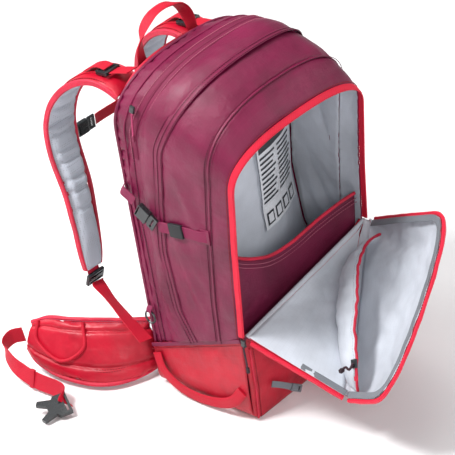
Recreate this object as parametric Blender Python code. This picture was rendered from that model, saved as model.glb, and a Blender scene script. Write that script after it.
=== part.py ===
"""Ski touring backpack, about 30 litres, standing upright with its front safety compartment unzipped.

Metres, +Z up, +Y towards the wearer's back, -Y the pack's front, +X the pack's right seen from the front.
The origin is the centre of the flat base. The front flap is hinged at its open rest position.
"""

import math

import bmesh
import bpy
import numpy as np
from mathutils import Matrix, Vector

# Driving dimensions
BASE_HALF_W = 0.143  # half width of the base boat
BASE_DEPTH = 0.186
BACK_Y = BASE_DEPTH / 2
FRONT_Y = -BASE_DEPTH / 2
BASE_CORNER = 0.024  # radius between base floor and sides
SEAM_BACK_Z = 0.076  # height of the base seam at the back
SEAM_SLOPE = 0.39  # rise of the base seam per metre towards the front
WALL = 0.003  # fabric, foam and lining together
GAP = 0.0005  # clearance between neighbouring sewn pieces
SIDE_SHARE = 0.34  # share of an arch guide taken by each straight side

# Arch guides from back edge to front rim: half width, spring height, top height, top y, corner power,
# and the side profile as (z, y) pairs
BACK_EDGE = (0.138, 0.458, 0.536, 0.078, 0.80, ((0.07, 0.090), (0.30, 0.096), (0.48, 0.099)))
RIDGE = (0.139, 0.456, 0.550, 0.045, 0.80, ((0.07, 0.076), (0.30, 0.084), (0.48, 0.078)))
MAIN_ZIP = (0.140, 0.450, 0.552, 0.010, 0.80, ((0.07, 0.058), (0.30, 0.066), (0.48, 0.056)))
SIDE_SEAM = (
    0.145, 0.440, 0.541, -0.047, 0.82,
    ((0.11, -0.001), (0.16, 0.024), (0.26, 0.035), (0.34, 0.027), (0.43, 0.014), (0.48, -0.004)),
)
GUSSET = (
    0.146, 0.420, 0.508, -0.094, 0.82,
    ((0.13, -0.052), (0.20, -0.054), (0.30, -0.063), (0.41, -0.078)),
)
FRONT_RIM = (
    0.144, 0.405, 0.464, -0.124, 0.80,
    ((0.15, -0.092), (0.30, -0.102), (0.405, -0.113)),
)

ZIP_LEFT_Z = 0.153  # lower end of the front zip on the left side
ZIP_RIGHT_Z = 0.200  # lower end of the front zip on the right side
FOLD_Z = 0.328  # height at which the flap's fold line meets the left rim
FLAP_OPEN = math.radians(115.0)
FOLD_OPEN = math.radians(69.0)
FLAP_BULGE = 0.034
FLAP_WALL = 0.004
ZIP_RADIUS = 0.0028
RIM_ZIP_OUT = 0.0036  # how far each row of the front zip lies beyond the shell's edge
FLAP_ZIP_OUT = 0.0102
FLAP_EDGE_OUT = 0.0145
FOLD_INSET = 0.0032  # from the flap's hinge and fold lines to its panels
RIM_INSET = 0.0050
POCKET_LIFT = 0.0060
POCKET_GAPE = 0.012

LID_START = 0.405  # arch position where the top lid's cut starts

WEBBING = 0.0014
STRAP_PAD = 0.011
WING_PAD = 0.011


# Scene and materials


def clear_scene():
    for obj in list(bpy.data.objects):
        bpy.data.objects.remove(obj, do_unlink=True)


def material(name, colour, roughness, metallic=0.0):
    made = bpy.data.materials.new(name)
    made.use_nodes = True
    shader = made.node_tree.nodes["Principled BSDF"]
    shader.inputs["Base Color"].default_value = (*colour, 1.0)
    shader.inputs["Roughness"].default_value = roughness
    shader.inputs["Metallic"].default_value = metallic
    return made


def make_materials():
    return {
        "shell": material("cranberry_nylon", (0.30, 0.035, 0.11), 0.55),
        "red": material("red_nylon", (0.72, 0.03, 0.06), 0.6),
        "webbing": material("red_webbing", (0.68, 0.04, 0.07), 0.65),
        "lining": material("grey_lining", (0.62, 0.66, 0.70), 0.6),
        "dark_lining": material("dark_grey_lining", (0.16, 0.17, 0.19), 0.65),
        "mesh": material("grey_padding", (0.55, 0.58, 0.63), 0.8),
        "plastic": material("black_acetal", (0.03, 0.03, 0.035), 0.4),
        "foam": material("back_foam", (0.10, 0.10, 0.11), 0.9),
        "metal": material("aluminium_stay", (0.75, 0.76, 0.78), 0.35, 1.0),
        "sheet": material("frame_sheet_pe", (0.08, 0.08, 0.09), 0.5),
        "cord": material("pull_cord", (0.55, 0.12, 0.22), 0.7),
    }


# Mesh builders


def finish_mesh(name, bm, slot, parent=None, origin=(0.0, 0.0, 0.0)):
    """Closes a bmesh into a named object; vertices are given relative to origin."""
    bmesh.ops.recalc_face_normals(bm, faces=bm.faces)
    mesh = bpy.data.meshes.new(name)
    bm.to_mesh(mesh)
    bm.free()
    mesh.materials.append(MATERIALS[slot])
    obj = bpy.data.objects.new(name, mesh)
    bpy.context.scene.collection.objects.link(obj)
    if parent is not None:
        obj.parent = parent
    else:
        obj.location = origin
    mesh.shade_smooth()
    mesh.set_sharp_from_angle(angle=math.radians(35))
    return obj


def grid_normals(points):
    across = np.gradient(points, axis=0)
    along = np.gradient(points, axis=1)
    normal = np.cross(across, along)
    return normal / np.maximum(np.linalg.norm(normal, axis=2, keepdims=True), 1e-9)


def shell_bmesh(points, thickness, keep=None, origin=(0.0, 0.0, 0.0)):
    """A closed wall: the grid of points is one face, the other lies thickness away along the normals."""
    rows, cols, _ = points.shape
    inner = points + grid_normals(points) * thickness
    if keep is None:
        keep = np.ones((rows - 1, cols - 1), bool)
    bm = bmesh.new()
    made = {}

    def vert(side, i, j):
        if (side, i, j) not in made:
            source = points if side == 0 else inner
            made[side, i, j] = bm.verts.new(Vector(source[i, j]) - Vector(origin))
        return made[side, i, j]

    def kept(i, j):
        return 0 <= i < rows - 1 and 0 <= j < cols - 1 and keep[i, j]

    for i in range(rows - 1):
        for j in range(cols - 1):
            if not keep[i, j]:
                continue
            ring = [(i, j), (i + 1, j), (i + 1, j + 1), (i, j + 1)]
            bm.faces.new([vert(0, *p) for p in ring])
            bm.faces.new([vert(1, *p) for p in reversed(ring)])
            sides = [(i, j - 1), (i + 1, j), (i, j + 1), (i - 1, j)]
            for k, other in enumerate(sides):
                if not kept(*other):
                    a, b = ring[k], ring[(k + 1) % 4]
                    bm.faces.new([vert(0, *b), vert(0, *a), vert(1, *a), vert(1, *b)])
    return bm


def smooth_path(points, steps):
    """Catmull-Rom curve through the control rows, steps points per span."""
    p = np.array(points, float)
    p = np.vstack([2 * p[0] - p[1], p, 2 * p[-1] - p[-2]])
    out = []
    for k in range(1, len(p) - 2):
        for t in np.linspace(0, 1, steps, endpoint=False):
            out.append(
                0.5
                * (
                    2 * p[k]
                    + (p[k + 1] - p[k - 1]) * t
                    + (2 * p[k - 1] - 5 * p[k] + 4 * p[k + 1] - p[k + 2]) * t**2
                    + (3 * p[k] - p[k - 1] - 3 * p[k + 1] + p[k + 2]) * t**3
                )
            )
    out.append(p[-2])
    return np.array(out)


def loft_bmesh(rings, origin=(0.0, 0.0, 0.0)):
    """A closed body through equal rings of points, with flat end caps."""
    bm = bmesh.new()
    rows = [[bm.verts.new(Vector(p) - Vector(origin)) for p in ring] for ring in rings]
    count = len(rings[0])
    for low, high in zip(rows, rows[1:]):
        for k in range(count):
            bm.faces.new([low[k], low[(k + 1) % count], high[(k + 1) % count], high[k]])
    bm.faces.new(rows[0])
    bm.faces.new(list(reversed(rows[-1])))
    return bm


def band(name, slot, path, across, width, thickness, steps=4, sides=4, parent=None, origin=(0, 0, 0)):
    """A strap swept along a path; across gives its width direction and may be one vector or one per point."""
    across = np.array(across, float) * np.ones((len(path), 3))
    widths = np.array(width, float) * np.ones(len(path))
    table = np.hstack([np.array(path, float), across, widths[:, None]])
    table = smooth_path(table, steps)
    centre = table[:, :3]
    tangent = np.gradient(centre, axis=0)
    tangent /= np.linalg.norm(tangent, axis=1, keepdims=True)
    rings = []
    for c, t, a, w in zip(centre, tangent, table[:, 3:6], table[:, 6]):
        a = a - t * (a @ t)
        a /= np.linalg.norm(a)
        n = np.cross(t, a)
        if sides == 4:
            corners = ((-0.5, -0.5), (0.5, -0.5), (0.5, 0.5), (-0.5, 0.5))
        else:
            angles = [2 * math.pi * (k + 0.5) / sides for k in range(sides)]
            corners = [
                (
                    0.5 * math.copysign(abs(math.cos(q)) ** 0.5, math.cos(q)),
                    0.5 * math.copysign(abs(math.sin(q)) ** 0.8, math.sin(q)),
                )
                for q in angles
            ]
        rings.append([c + a * u * w + n * v * thickness for u, v in corners])
    return finish_mesh(name, loft_bmesh(rings, origin), slot, parent, origin)


def lying_flat(path, facing):
    """Width directions that keep a strap's flat side turned towards facing."""
    along = np.gradient(np.array(path, float), axis=0)
    return np.cross(np.array(facing, float), along)


def tube(name, slot, path, radius, steps=4, parent=None, origin=(0, 0, 0)):
    """A round cord or piping as a bevelled curve with filled caps."""
    centre = smooth_path(path, steps) - np.array(origin, float)
    curve = bpy.data.curves.new(name, "CURVE")
    curve.dimensions = "3D"
    curve.bevel_depth = radius
    curve.bevel_resolution = 1
    curve.use_fill_caps = True
    spline = curve.splines.new("POLY")
    spline.points.add(len(centre) - 1)
    for point, c in zip(spline.points, centre):
        point.co = (*c, 1.0)
    curve.materials.append(MATERIALS[slot])
    obj = bpy.data.objects.new(name, curve)
    bpy.context.scene.collection.objects.link(obj)
    if parent is not None:
        obj.parent = parent
    else:
        obj.location = origin
    return obj


def extrude_outline(name, slot, outline, thickness, matrix, parent=None, origin=(0, 0, 0)):
    """A flat plate from a closed 2D outline in the matrix's XY plane, centred on it in thickness."""
    bm = bmesh.new()
    low = [bm.verts.new((x, y, -thickness / 2)) for x, y in outline]
    high = [bm.verts.new((x, y, thickness / 2)) for x, y in outline]
    count = len(outline)
    bm.faces.new(list(reversed(low)))
    bm.faces.new(high)
    for k in range(count):
        bm.faces.new([low[k], low[(k + 1) % count], high[(k + 1) % count], high[k]])
    bmesh.ops.transform(bm, matrix=Matrix.Translation(-Vector(origin)) @ matrix, verts=bm.verts)
    return finish_mesh(name, bm, slot, parent, origin)


def block(name, slot, size, matrix, bevel=0.0, parent=None, origin=(0, 0, 0)):
    bm = bmesh.new()
    bmesh.ops.create_cube(bm, size=1.0)
    bmesh.ops.transform(bm, matrix=Matrix.Diagonal((*size, 1.0)), verts=bm.verts)
    bmesh.ops.transform(bm, matrix=Matrix.Translation(-Vector(origin)) @ matrix, verts=bm.verts)
    obj = finish_mesh(name, bm, slot, parent, origin)
    if bevel:
        rounding = obj.modifiers.new("edges", "BEVEL")
        rounding.width = bevel
        rounding.segments = 2
    return obj


def cut(obj, size, matrix, parent=None, origin=(0, 0, 0)):
    """Cuts a box out of obj."""
    tool = block(f"cut_{obj.name}_{len(obj.modifiers)}", "plastic", size, matrix, 0.0, parent, origin)
    tool.hide_render = True
    tool.display_type = "WIRE"
    boolean = obj.modifiers.new("slot", "BOOLEAN")
    boolean.operation = "DIFFERENCE"
    boolean.object = tool


def placed(at, x_axis, z_axis):
    """A matrix at a point, with its X along x_axis and its Z as near z_axis as that allows."""
    x = Vector(x_axis).normalized()
    z = Vector(z_axis)
    z = (z - x * z.dot(x)).normalized()
    y = z.cross(x)
    return Matrix.Translation(Vector(at)) @ Matrix((x, y, z)).transposed().to_4x4()


def empty(name, at, parent=None):
    obj = bpy.data.objects.new(name, None)
    bpy.context.scene.collection.objects.link(obj)
    obj.parent = parent
    obj.location = at
    return obj


# The bag's surface


def seam_z(y):
    return SEAM_BACK_Z + SEAM_SLOPE * (BACK_Y - y)


def guide_point(guide, s):
    """A point on an arch guide, s from 0 (left, on the base seam) over the top to 1 (right)."""
    half_w, spring, top, top_y, power, profile = guide
    heights = [z for z, _ in profile]
    depths = [y for _, y in profile]
    low = seam_z(float(np.interp(0.11, heights, depths))) + GAP
    mirrored = s > 0.5
    s = 1 - s if mirrored else s
    if s < SIDE_SHARE:
        z = low + (spring - low) * s / SIDE_SHARE
        x = -half_w
        y = float(np.interp(z, heights, depths))
    else:
        angle = math.pi / 2 * (s - SIDE_SHARE) / (0.5 - SIDE_SHARE)
        rise = math.sin(angle) ** power
        z = spring + (top - spring) * rise
        x = -half_w * max(math.cos(angle), 0.0) ** power
        side_y = float(np.interp(spring, heights, depths))
        y = side_y + (top_y - side_y) * rise
    return np.array((-x if mirrored else x, y, z))


def between(first, second, share, s):
    a = guide_point(first, s)
    b = guide_point(second, s)
    return a + (b - a) * share


def bag_grid(columns, rows):
    """Points of the bag's outer surface for (guide, next guide, share) columns and s rows."""
    return np.array([[between(a, b, t, s) for a, b, t in columns] for s in rows])


def arch_rows(start=0.0, end=1.0):
    side = np.linspace(0, SIDE_SHARE, 6, endpoint=False)
    arch = np.linspace(SIDE_SHARE, 1 - SIDE_SHARE, 17)
    rows = np.concatenate([side, arch, 1 - side[::-1]])
    inside = rows[(rows > start + 0.004) & (rows < end - 0.004)]
    return np.concatenate([[start], inside, [end]])


# The pack body


def build_main_bag():
    """Side walls and the gathered back band of the main compartment; the lid's place stays open."""
    columns = [
        (BACK_EDGE, RIDGE, 0.0),
        (BACK_EDGE, RIDGE, 1.0),
        (RIDGE, MAIN_ZIP, 0.5),
        (RIDGE, MAIN_ZIP, 0.97),
        (MAIN_ZIP, SIDE_SEAM, 0.5),
        (MAIN_ZIP, SIDE_SEAM, 0.98),
    ]
    low = arch_rows(0.0, LID_START)
    rows = np.concatenate([low, arch_rows(LID_START, 1 - LID_START)[1:-1], 1 - low[::-1]])
    points = bag_grid(columns, rows)
    keep = np.ones((len(rows) - 1, len(columns) - 1), bool)
    keep[len(low) - 1 : len(rows) - len(low), 3:] = False
    finish_mesh("main_bag", shell_bmesh(points, WALL, keep), "shell")


def build_top_lid(parent):
    columns = [(MAIN_ZIP, SIDE_SEAM, t) for t in (0.03, 0.35, 0.68, 0.98)]
    points = bag_grid(columns, arch_rows(LID_START + 0.004, 1 - LID_START - 0.004))
    bm = shell_bmesh(points, WALL, origin=LID_HINGE)
    finish_mesh("top_lid", bm, "shell", parent)


def build_front_shell():
    """The arch of the safety compartment, from the double seam to the front zip."""
    columns = [
        (SIDE_SEAM, GUSSET, 0.03),
        (SIDE_SEAM, GUSSET, 0.5),
        (SIDE_SEAM, GUSSET, 1.0),
        (GUSSET, FRONT_RIM, 0.5),
        (GUSSET, FRONT_RIM, 1.0),
    ]
    points = bag_grid(columns, arch_rows())
    finish_mesh("front_compartment_shell", shell_bmesh(points, WALL), "shell")


def base_outline(y):
    """Half section of the base boat from the seam down, round the corner and along the floor."""
    half_w = BASE_HALF_W
    outline = [(-half_w, seam_z(y)), (-half_w, BASE_CORNER + (seam_z(y) - BASE_CORNER) * 0.5)]
    for k in range(5):
        angle = math.pi / 2 * k / 4
        outline.append(
            (-half_w + BASE_CORNER * (1 - math.cos(angle)), BASE_CORNER * (1 - math.sin(angle)))
        )
    return outline + [(-half_w / 2, 0.0)]


def build_base_boat():
    rows = []
    for y in np.linspace(BACK_Y, FRONT_Y, 6):
        left = base_outline(float(y))
        ring = left + [(0.0, 0.0)] + [(-x, z) for x, z in reversed(left)]
        rows.append([(x, float(y), z) for x, z in ring])
    finish_mesh("base_boat", shell_bmesh(np.array(rows), WALL), "red")


def build_base_front():
    """The red lower front panel, up to the sloping line on which the flap folds."""
    half_w = BASE_HALF_W
    outline = []
    for k in range(5):
        angle = math.pi / 2 * k / 4
        outline.append(
            (half_w - BASE_CORNER * (1 - math.sin(angle)), BASE_CORNER * (1 - math.cos(angle)))
        )
    narrow = half_w - 0.0050
    upper = [(half_w, seam_z(FRONT_Y) - 0.004), (narrow, seam_z(FRONT_Y) - 0.003)]
    upper += [(narrow, ZIP_RIGHT_Z - 0.002), (-narrow, ZIP_LEFT_Z - 0.002), (-half_w, seam_z(FRONT_Y) - 0.004)]
    outline += upper + [(-x, z) for x, z in reversed(outline)]
    matrix = placed((0, FRONT_Y - GAP - WALL / 2, 0), (1, 0, 0), (0, -1, 0))
    extrude_outline("base_front_panel", "red", outline, WALL, matrix)


def divider_y(z):
    return float(np.interp(z, [0.0, 0.10, 0.16, 0.26, 0.34, 0.43, 0.48, 0.54],
                           [-0.012, -0.006, 0.018, 0.029, 0.021, 0.009, -0.010, -0.042]))


def arch_height(guide, x, inset):
    """Height of an arch guide above a given x, less an inset."""
    half_w, spring, top, _, power, _ = guide
    share = min(abs(x) / (half_w - inset), 1.0)
    rise = math.sin(math.acos(min(share ** (1 / power), 1.0))) ** power
    return spring - inset + (top - spring) * rise


def build_divider():
    """Lined wall between the main and the safety compartment."""
    half_w = BASE_HALF_W - 0.008
    rows = []
    for x in np.linspace(-half_w, half_w, 17):
        top = arch_height(SIDE_SEAM, x, 0.010)
        corner = max(0.0, abs(x) - (BASE_HALF_W - BASE_CORNER))
        low = 0.008 + BASE_CORNER - math.sqrt(max(BASE_CORNER**2 - corner**2, 0.0))
        heights = np.linspace(low, top, 12)
        rows.append([(x, divider_y(z), z) for z in heights])
    finish_mesh("compartment_divider", shell_bmesh(np.array(rows), 0.002), "lining")


POCKET_EDGE = (
    (-0.136, -0.088, 0.288),
    (-0.100, -0.084, 0.262),
    (-0.050, -0.080, 0.238),
    (0.000, -0.078, 0.232),
    (0.060, -0.080, 0.238),
    (0.100, -0.084, 0.243),
    (0.136, -0.092, 0.248),
)


def build_tool_pocket():
    """The wide pocket for shovel shaft and probe across the safety compartment."""
    edge = smooth_path(POCKET_EDGE, 3)
    rows = []
    for x, y, z in edge:
        corner = max(0.0, abs(x) - (BASE_HALF_W - BASE_CORNER))
        low = 0.006 + BASE_CORNER - math.sqrt(max(BASE_CORNER**2 - corner**2, 0.0))
        heights = np.linspace(low, z - 0.003, 6)
        rows.append([(x, -0.080 + (y + 0.080) * ((h - low) / (z - low)) ** 2, h) for h in heights])
    finish_mesh("tool_pocket", shell_bmesh(np.array(rows), 0.0015), "shell")


def build_front_zip():
    """The zip tape and coil round the opening, from the left end over the top to the right end."""
    path = [rim_point(s, RIM_ZIP_OUT) for s in np.linspace(0, 1, 27)]
    tube("front_zip_rim", "red", path, ZIP_RADIUS, 2)


# Front flap, modelled closed and turned open by its two empties


def rim_s(z):
    """Arch position on the front rim's left side at a height."""
    low = seam_z(float(np.interp(0.11, *zip(*FRONT_RIM[5])))) + GAP
    return SIDE_SHARE * (z - low) / (FRONT_RIM[1] - low)


def rim_point(share, out=0.0):
    """Front rim from the left zip end (0) over the top to the right (1), moved out along the bag's surface."""
    start, end = rim_s(ZIP_LEFT_Z), 1 - rim_s(ZIP_RIGHT_Z)
    s = start + (end - start) * share
    point = guide_point(FRONT_RIM, s)
    ahead = point - guide_point(GUSSET, s)
    return point + ahead / np.linalg.norm(ahead) * out


def flap_axis():
    """The line just above the red front panel about which the flap drops open."""
    left, right = rim_point(0.0), rim_point(1.0)
    left[1] = right[1] = FRONT_Y - 0.008
    return left + np.array((0, 0, 0.002)), right + np.array((0, 0, 0.002))


def fold_start():
    return rim_point(fold_share(), FLAP_EDGE_OUT)


def fold_share():
    """Where the fold line meets the rim, as a share of the rim."""
    return (rim_s(FOLD_Z) - rim_s(ZIP_LEFT_Z)) / (1 - rim_s(ZIP_RIGHT_Z) - rim_s(ZIP_LEFT_Z))


def build_flap_lower(parent, origin):
    """The triangle between the hinge line and the fold line."""
    left, right = flap_axis()
    fold = fold_start()
    rows = []
    for t in np.linspace(0.016, 0.90, 10):
        low = left + (right - left) * t
        high = fold + (right - fold) * t
        inset = FOLD_INSET / np.linalg.norm(high - low)
        row = []
        for u in np.linspace(inset, 1 - inset, 5):
            out = FLAP_BULGE * 0.1 * math.sin(math.pi * u) ** 0.8 * math.sin(math.pi * t)
            row.append(low + (high - low) * u - np.array((0, out + FLAP_WALL / 2, 0)))
        rows.append(row)
    bm = shell_bmesh(np.array(rows), -FLAP_WALL, origin=origin)
    finish_mesh("flap_lower_panel", bm, "shell", parent)


def flap_upper_row(t, lift=0.0):
    """One row of the upper flap panel, from the fold line to the rim arch, at share t from left to right."""
    right = flap_axis()[1]
    fold = fold_start()
    base = fold + (right - fold) * t
    rim = rim_point(fold_share() + (1 - fold_share()) * t, FLAP_EDGE_OUT)
    span = np.linalg.norm(rim - base)
    row = []
    for u in np.linspace(FOLD_INSET / span, 1 - RIM_INSET / span, 8):
        crown = math.sin(math.pi * (u * 0.62 + 0.02)) * (1 - u**3) * math.sin(math.pi * t) ** 0.6
        row.append(base + (rim - base) * u - np.array((0, FLAP_BULGE * crown + FLAP_WALL / 2 - lift, 0)))
    return row


def build_flap_upper(parent, origin):
    rows = [flap_upper_row(t) for t in np.linspace(0.045, 0.93, 17)]
    bm = shell_bmesh(np.array(rows), -FLAP_WALL, origin=origin)
    finish_mesh("flap_upper_panel", bm, "shell", parent)


def build_flap_rims(lower, lower_origin, upper, upper_origin):
    """The flap's half of the zip, following its edge on both panels."""
    split = fold_share()
    low = [rim_point(t, FLAP_ZIP_OUT) for t in np.linspace(0.03, split - 0.012, 6)]
    tube("flap_lower_zip", "red", low, ZIP_RADIUS, 2, lower, lower_origin)
    high = [rim_point(t, FLAP_ZIP_OUT) for t in np.linspace(split + 0.012, 0.965, 21)]
    tube("flap_upper_zip", "red", high, ZIP_RADIUS, 2, upper, upper_origin)


def build_flap_pocket(parent, origin):
    """Light pocket panel on the flap's inner side, held off the panel so that its mouth gapes."""
    rows = []
    for t in np.linspace(0.22, 0.80, 9):
        gape = POCKET_LIFT + POCKET_GAPE * math.sin(math.pi * (t - 0.15) / 0.72)
        rows.append(flap_upper_row(t, gape)[1:7])
    bm = shell_bmesh(np.array(rows), 0.0015, origin=origin)
    finish_mesh("flap_inner_pocket", bm, "lining", parent)


# Carrying system


def build_back_system():
    rows = []
    for x in np.linspace(-0.128, 0.128, 13):
        top = arch_height(BACK_EDGE, x, 0.012)
        rows.append([(x, 0.1005 + 0.004 * math.sin(math.pi * z / 0.5), z) for z in np.linspace(0.012, top, 9)])
    finish_mesh("back_panel_pad", shell_bmesh(np.array(rows), -0.010), "foam")
    rows = []
    for x in np.linspace(-0.115, 0.115, 9):
        top = arch_height(BACK_EDGE, x, 0.030)
        rows.append([(x, 0.0855, z) for z in np.linspace(0.016, min(top, 0.49), 6)])
    finish_mesh("frame_sheet", shell_bmesh(np.array(rows), 0.0015), "sheet")
    for side, name in ((-1, "left"), (1, "right")):
        path = [(side * 0.070, 0.0815, 0.020), (side * 0.062, 0.0815, 0.25), (side * 0.045, 0.0815, 0.475)]
        band(f"frame_stay_{name}", "metal", path, (1, 0, 0), 0.012, 0.003, 3)
    rows = []
    for x in np.linspace(-0.095, 0.095, 9):
        rows.append([(x, 0.1185 + 0.010 * math.cos(math.pi * x / 0.21), z) for z in np.linspace(0.020, 0.135, 5)])
    finish_mesh("lumbar_pad", shell_bmesh(np.array(rows), -0.007), "mesh")


STRAP_PATH = (
    (0.082, 0.1180, 0.470),
    (0.084, 0.140, 0.483),
    (0.086, 0.165, 0.487),
    (0.089, 0.195, 0.479),
    (0.093, 0.226, 0.458),
    (0.097, 0.252, 0.424),
    (0.100, 0.264, 0.382),
    (0.103, 0.259, 0.335),
    (0.107, 0.243, 0.285),
    (0.112, 0.234, 0.230),
    (0.117, 0.228, 0.180),
    (0.119, 0.227, 0.152),
)
STRAP_WIDTH = (0.058, 0.060, 0.062, 0.064, 0.066, 0.066, 0.064, 0.062, 0.058, 0.052, 0.046, 0.036)


def mirrored(path, side):
    return [(side * x, y, z) for x, y, z in path]


def build_shoulder_strap(side, name):
    path = mirrored(STRAP_PATH, side)
    band(f"shoulder_strap_{name}", "mesh", path, (1, 0, 0), STRAP_WIDTH, STRAP_PAD, 2, 8)
    lock = placed((side * 0.1205, 0.2235, 0.139), (1, 0, 0), (0, 1, 0.35))
    obj = block(f"ladder_lock_{name}", "plastic", (0.034, 0.020, 0.006), lock, 0.0012)
    cut(obj, (0.026, 0.0035, 0.02), lock @ Matrix.Translation((0, -0.005, 0)))
    cut(obj, (0.026, 0.0035, 0.02), lock @ Matrix.Translation((0, 0.005, 0)))
    lower = mirrored(
        ((0.122, 0.2165, 0.1275), (0.1275, 0.190, 0.1135), (0.138, 0.145, 0.0945), (0.1475, 0.103, 0.079)), side
    )
    band(f"lower_webbing_{name}", "webbing", lower, (1, 0, 0.1 * side), 0.024, WEBBING, 4)
    lifter = mirrored(((0.082, 0.1125, 0.5055), (0.084, 0.127, 0.5030), (0.0855, 0.1395, 0.4985)), side)
    band(f"load_lifter_webbing_{name}", "webbing", lifter, (1, 0, 0), 0.022, WEBBING, 3)
    buckle = placed((side * 0.0865, 0.153, 0.4985), (1, 0, 0), (0, 0.10, 1))
    obj = block(f"load_lifter_buckle_{name}", "plastic", (0.030, 0.023, 0.007), buckle, 0.0015)
    cut(obj, (0.022, 0.003, 0.02), buckle @ Matrix.Translation((0, -0.0065, 0)))
    cut(obj, (0.022, 0.003, 0.02), buckle @ Matrix.Translation((0, 0.0065, 0)))


def build_sternum_strap(parent, origin, tongue_parent, tongue_origin):
    """Webbing across both shoulder straps, with its side-release buckle and the two strap sliders."""
    y = 0.2760
    for side, name in ((-1, "left"), (1, "right")):
        at = placed((side * 0.1030, y, 0.352), (1, 0, 0), (0, 1, 0))
        obj = block(f"sternum_slider_{name}", "plastic", (0.026, 0.030, 0.0075), at, 0.0015, parent, origin)
        cut(obj, (0.0035, 0.022, 0.02), at @ Matrix.Translation((-side * 0.0085, 0, 0)), parent, origin)
    left = ((-0.0870, y, 0.352), (-0.075, y + 0.003, 0.349), (-0.0565, y + 0.005, 0.345))
    band("sternum_webbing_left", "webbing", left, (0, 0, 1), 0.018, WEBBING, 3, 4, parent, origin)
    right = ((0.0870, y, 0.352), (0.050, y + 0.004, 0.346), (0.000, y + 0.006, 0.345), (-0.014, y + 0.005, 0.345))
    band("sternum_webbing_right", "webbing", right, (0, 0, 1), 0.018, WEBBING, 3, 4, parent, origin)
    centre = (-0.0430, y + 0.005, 0.345)
    build_side_release("sternum_buckle", centre, (1, 0, 0), (0, 1, 0), 0.022, parent, origin,
                       tongue_parent, tongue_origin)


def build_side_release(name, at, along, out, width, female_parent, female_origin, male_parent, male_origin):
    """A side-release buckle: the socket half lies along -X of its matrix, the pronged half enters from +X."""
    matrix = placed(at, along, out)
    half = width / 2
    socket = block(f"{name}_socket", "plastic", (0.022, width, 0.008), matrix, 0.0010, female_parent, female_origin)
    hollow = matrix @ Matrix.Translation((0.004, 0, 0))
    cut(socket, (0.020, width - 0.006, 0.0042), hollow, female_parent, female_origin)
    bar = matrix @ Matrix.Translation((-0.0085, 0, 0))
    cut(socket, (0.0025, width - 0.006, 0.02), bar, female_parent, female_origin)
    prong = half - 0.0045
    outline = [
        (0.026, -half), (0.026, half), (0.0125, half), (0.0125, prong), (-0.001, prong),
        (-0.004, prong - 0.0035), (0.0105, prong - 0.0035), (0.0105, -prong + 0.0035),
        (-0.004, -prong + 0.0035), (-0.001, -prong), (0.0125, -prong), (0.0125, -half),
    ]
    tongue = extrude_outline(f"{name}_tongue", "plastic", outline, 0.0032, matrix, male_parent, male_origin)
    slot = matrix @ Matrix.Translation((0.0195, 0, 0))
    cut(tongue, (0.003, width - 0.006, 0.02), slot, male_parent, male_origin)


def build_haul_loop():
    """Grab handle of webbing, sewn flat above the back pad and turned on edge over the hand."""
    half = ((-0.056, 0.1125, 0.500), (-0.056, 0.1150, 0.530), (-0.043, 0.1160, 0.560), (-0.018, 0.1150, 0.578))
    turned = ((1, 0, 0), (1, 0.35, 0), (0.6, 1, 0.4), (0, 1, 0))
    path = list(half) + [(-x, y, z) for x, y, z in reversed(half)]
    across = list(turned) + [(-x, y, -z) for x, y, z in reversed(turned)]
    widths = (0.022, 0.021, 0.018, 0.016, 0.016, 0.018, 0.021, 0.022)
    band("haul_loop", "webbing", path, across, widths, 0.003, 3)


# Hip wing stations from the lumbar pad to the tip: upper edge and lower edge
WING_STATIONS = (
    ((0.1040, 0.124, 0.090), (0.118, 0.1195, 0.010)),
    ((0.1200, 0.144, 0.092), (0.145, 0.1230, 0.007)),
    ((0.1370, 0.164, 0.093), (0.171, 0.1310, 0.006)),
    ((0.1520, 0.188, 0.094), (0.195, 0.1480, 0.006)),
    ((0.1660, 0.212, 0.094), (0.210, 0.1770, 0.007)),
    ((0.1800, 0.245, 0.093), (0.219, 0.2150, 0.010)),
    ((0.1910, 0.281, 0.090), (0.220, 0.2620, 0.018)),
    ((0.2010, 0.301, 0.080), (0.214, 0.2950, 0.034)),
)


def wing_point(station, share, out, side):
    """A point on a hip wing: share 0 is the lower and 1 the upper edge, out is away from the wearer."""
    upper, lower = (np.array(p) for p in WING_STATIONS[station])
    ahead = np.array(WING_STATIONS[min(station + 1, 7)][1]) - np.array(WING_STATIONS[max(station - 1, 0)][1])
    outward = np.cross(ahead, upper - lower)
    point = lower + (upper - lower) * share + outward / np.linalg.norm(outward) * out
    return (side * point[0], point[1], point[2])


def build_hip_wing(side, name, parent, origin):
    upper = np.array([u for u, _ in WING_STATIONS]) * (side, 1, 1)
    lower = np.array([w for _, w in WING_STATIONS]) * (side, 1, 1)
    across = upper - lower
    widths = np.linalg.norm(across, axis=1)
    across /= widths[:, None]
    band(f"hip_wing_{name}", "red", (upper + lower) / 2, across, widths, WING_PAD, 2, 8, parent, origin)
    stops = ((4, 0.93, 0.0095), (4, 0.55, 0.014), (5, 0.30, 0.016), (6, 0.50, 0.014), (6, 0.90, 0.0095))
    loop = [wing_point(station, share, out, side) for station, share, out in stops]
    tube(f"gear_loop_{name}", "webbing", loop, 0.0028, 3, parent, origin)


BELT_ROUTE = (
    (0.2120, 0.3075, 0.0560),
    (0.2250, 0.3220, 0.0530),
    (0.2410, 0.3230, 0.0430),
    (0.2505, 0.3030, 0.0300),
    (0.2545, 0.2750, 0.0225),
    (0.2560, 0.2420, 0.0190),
    (0.2535, 0.2050, 0.0180),
)


def build_belt_webbing(side, name, parent, origin):
    upright = (0, 0, 1)
    leaning = (-0.35 * side, 0, 0.9)
    across = (upright, upright, upright, (-0.2 * side, 0, 1), leaning, leaning, leaning)
    band(f"hip_webbing_{name}", "webbing", mirrored(BELT_ROUTE, side), across, 0.026, WEBBING, 3, 4, parent, origin)


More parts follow.
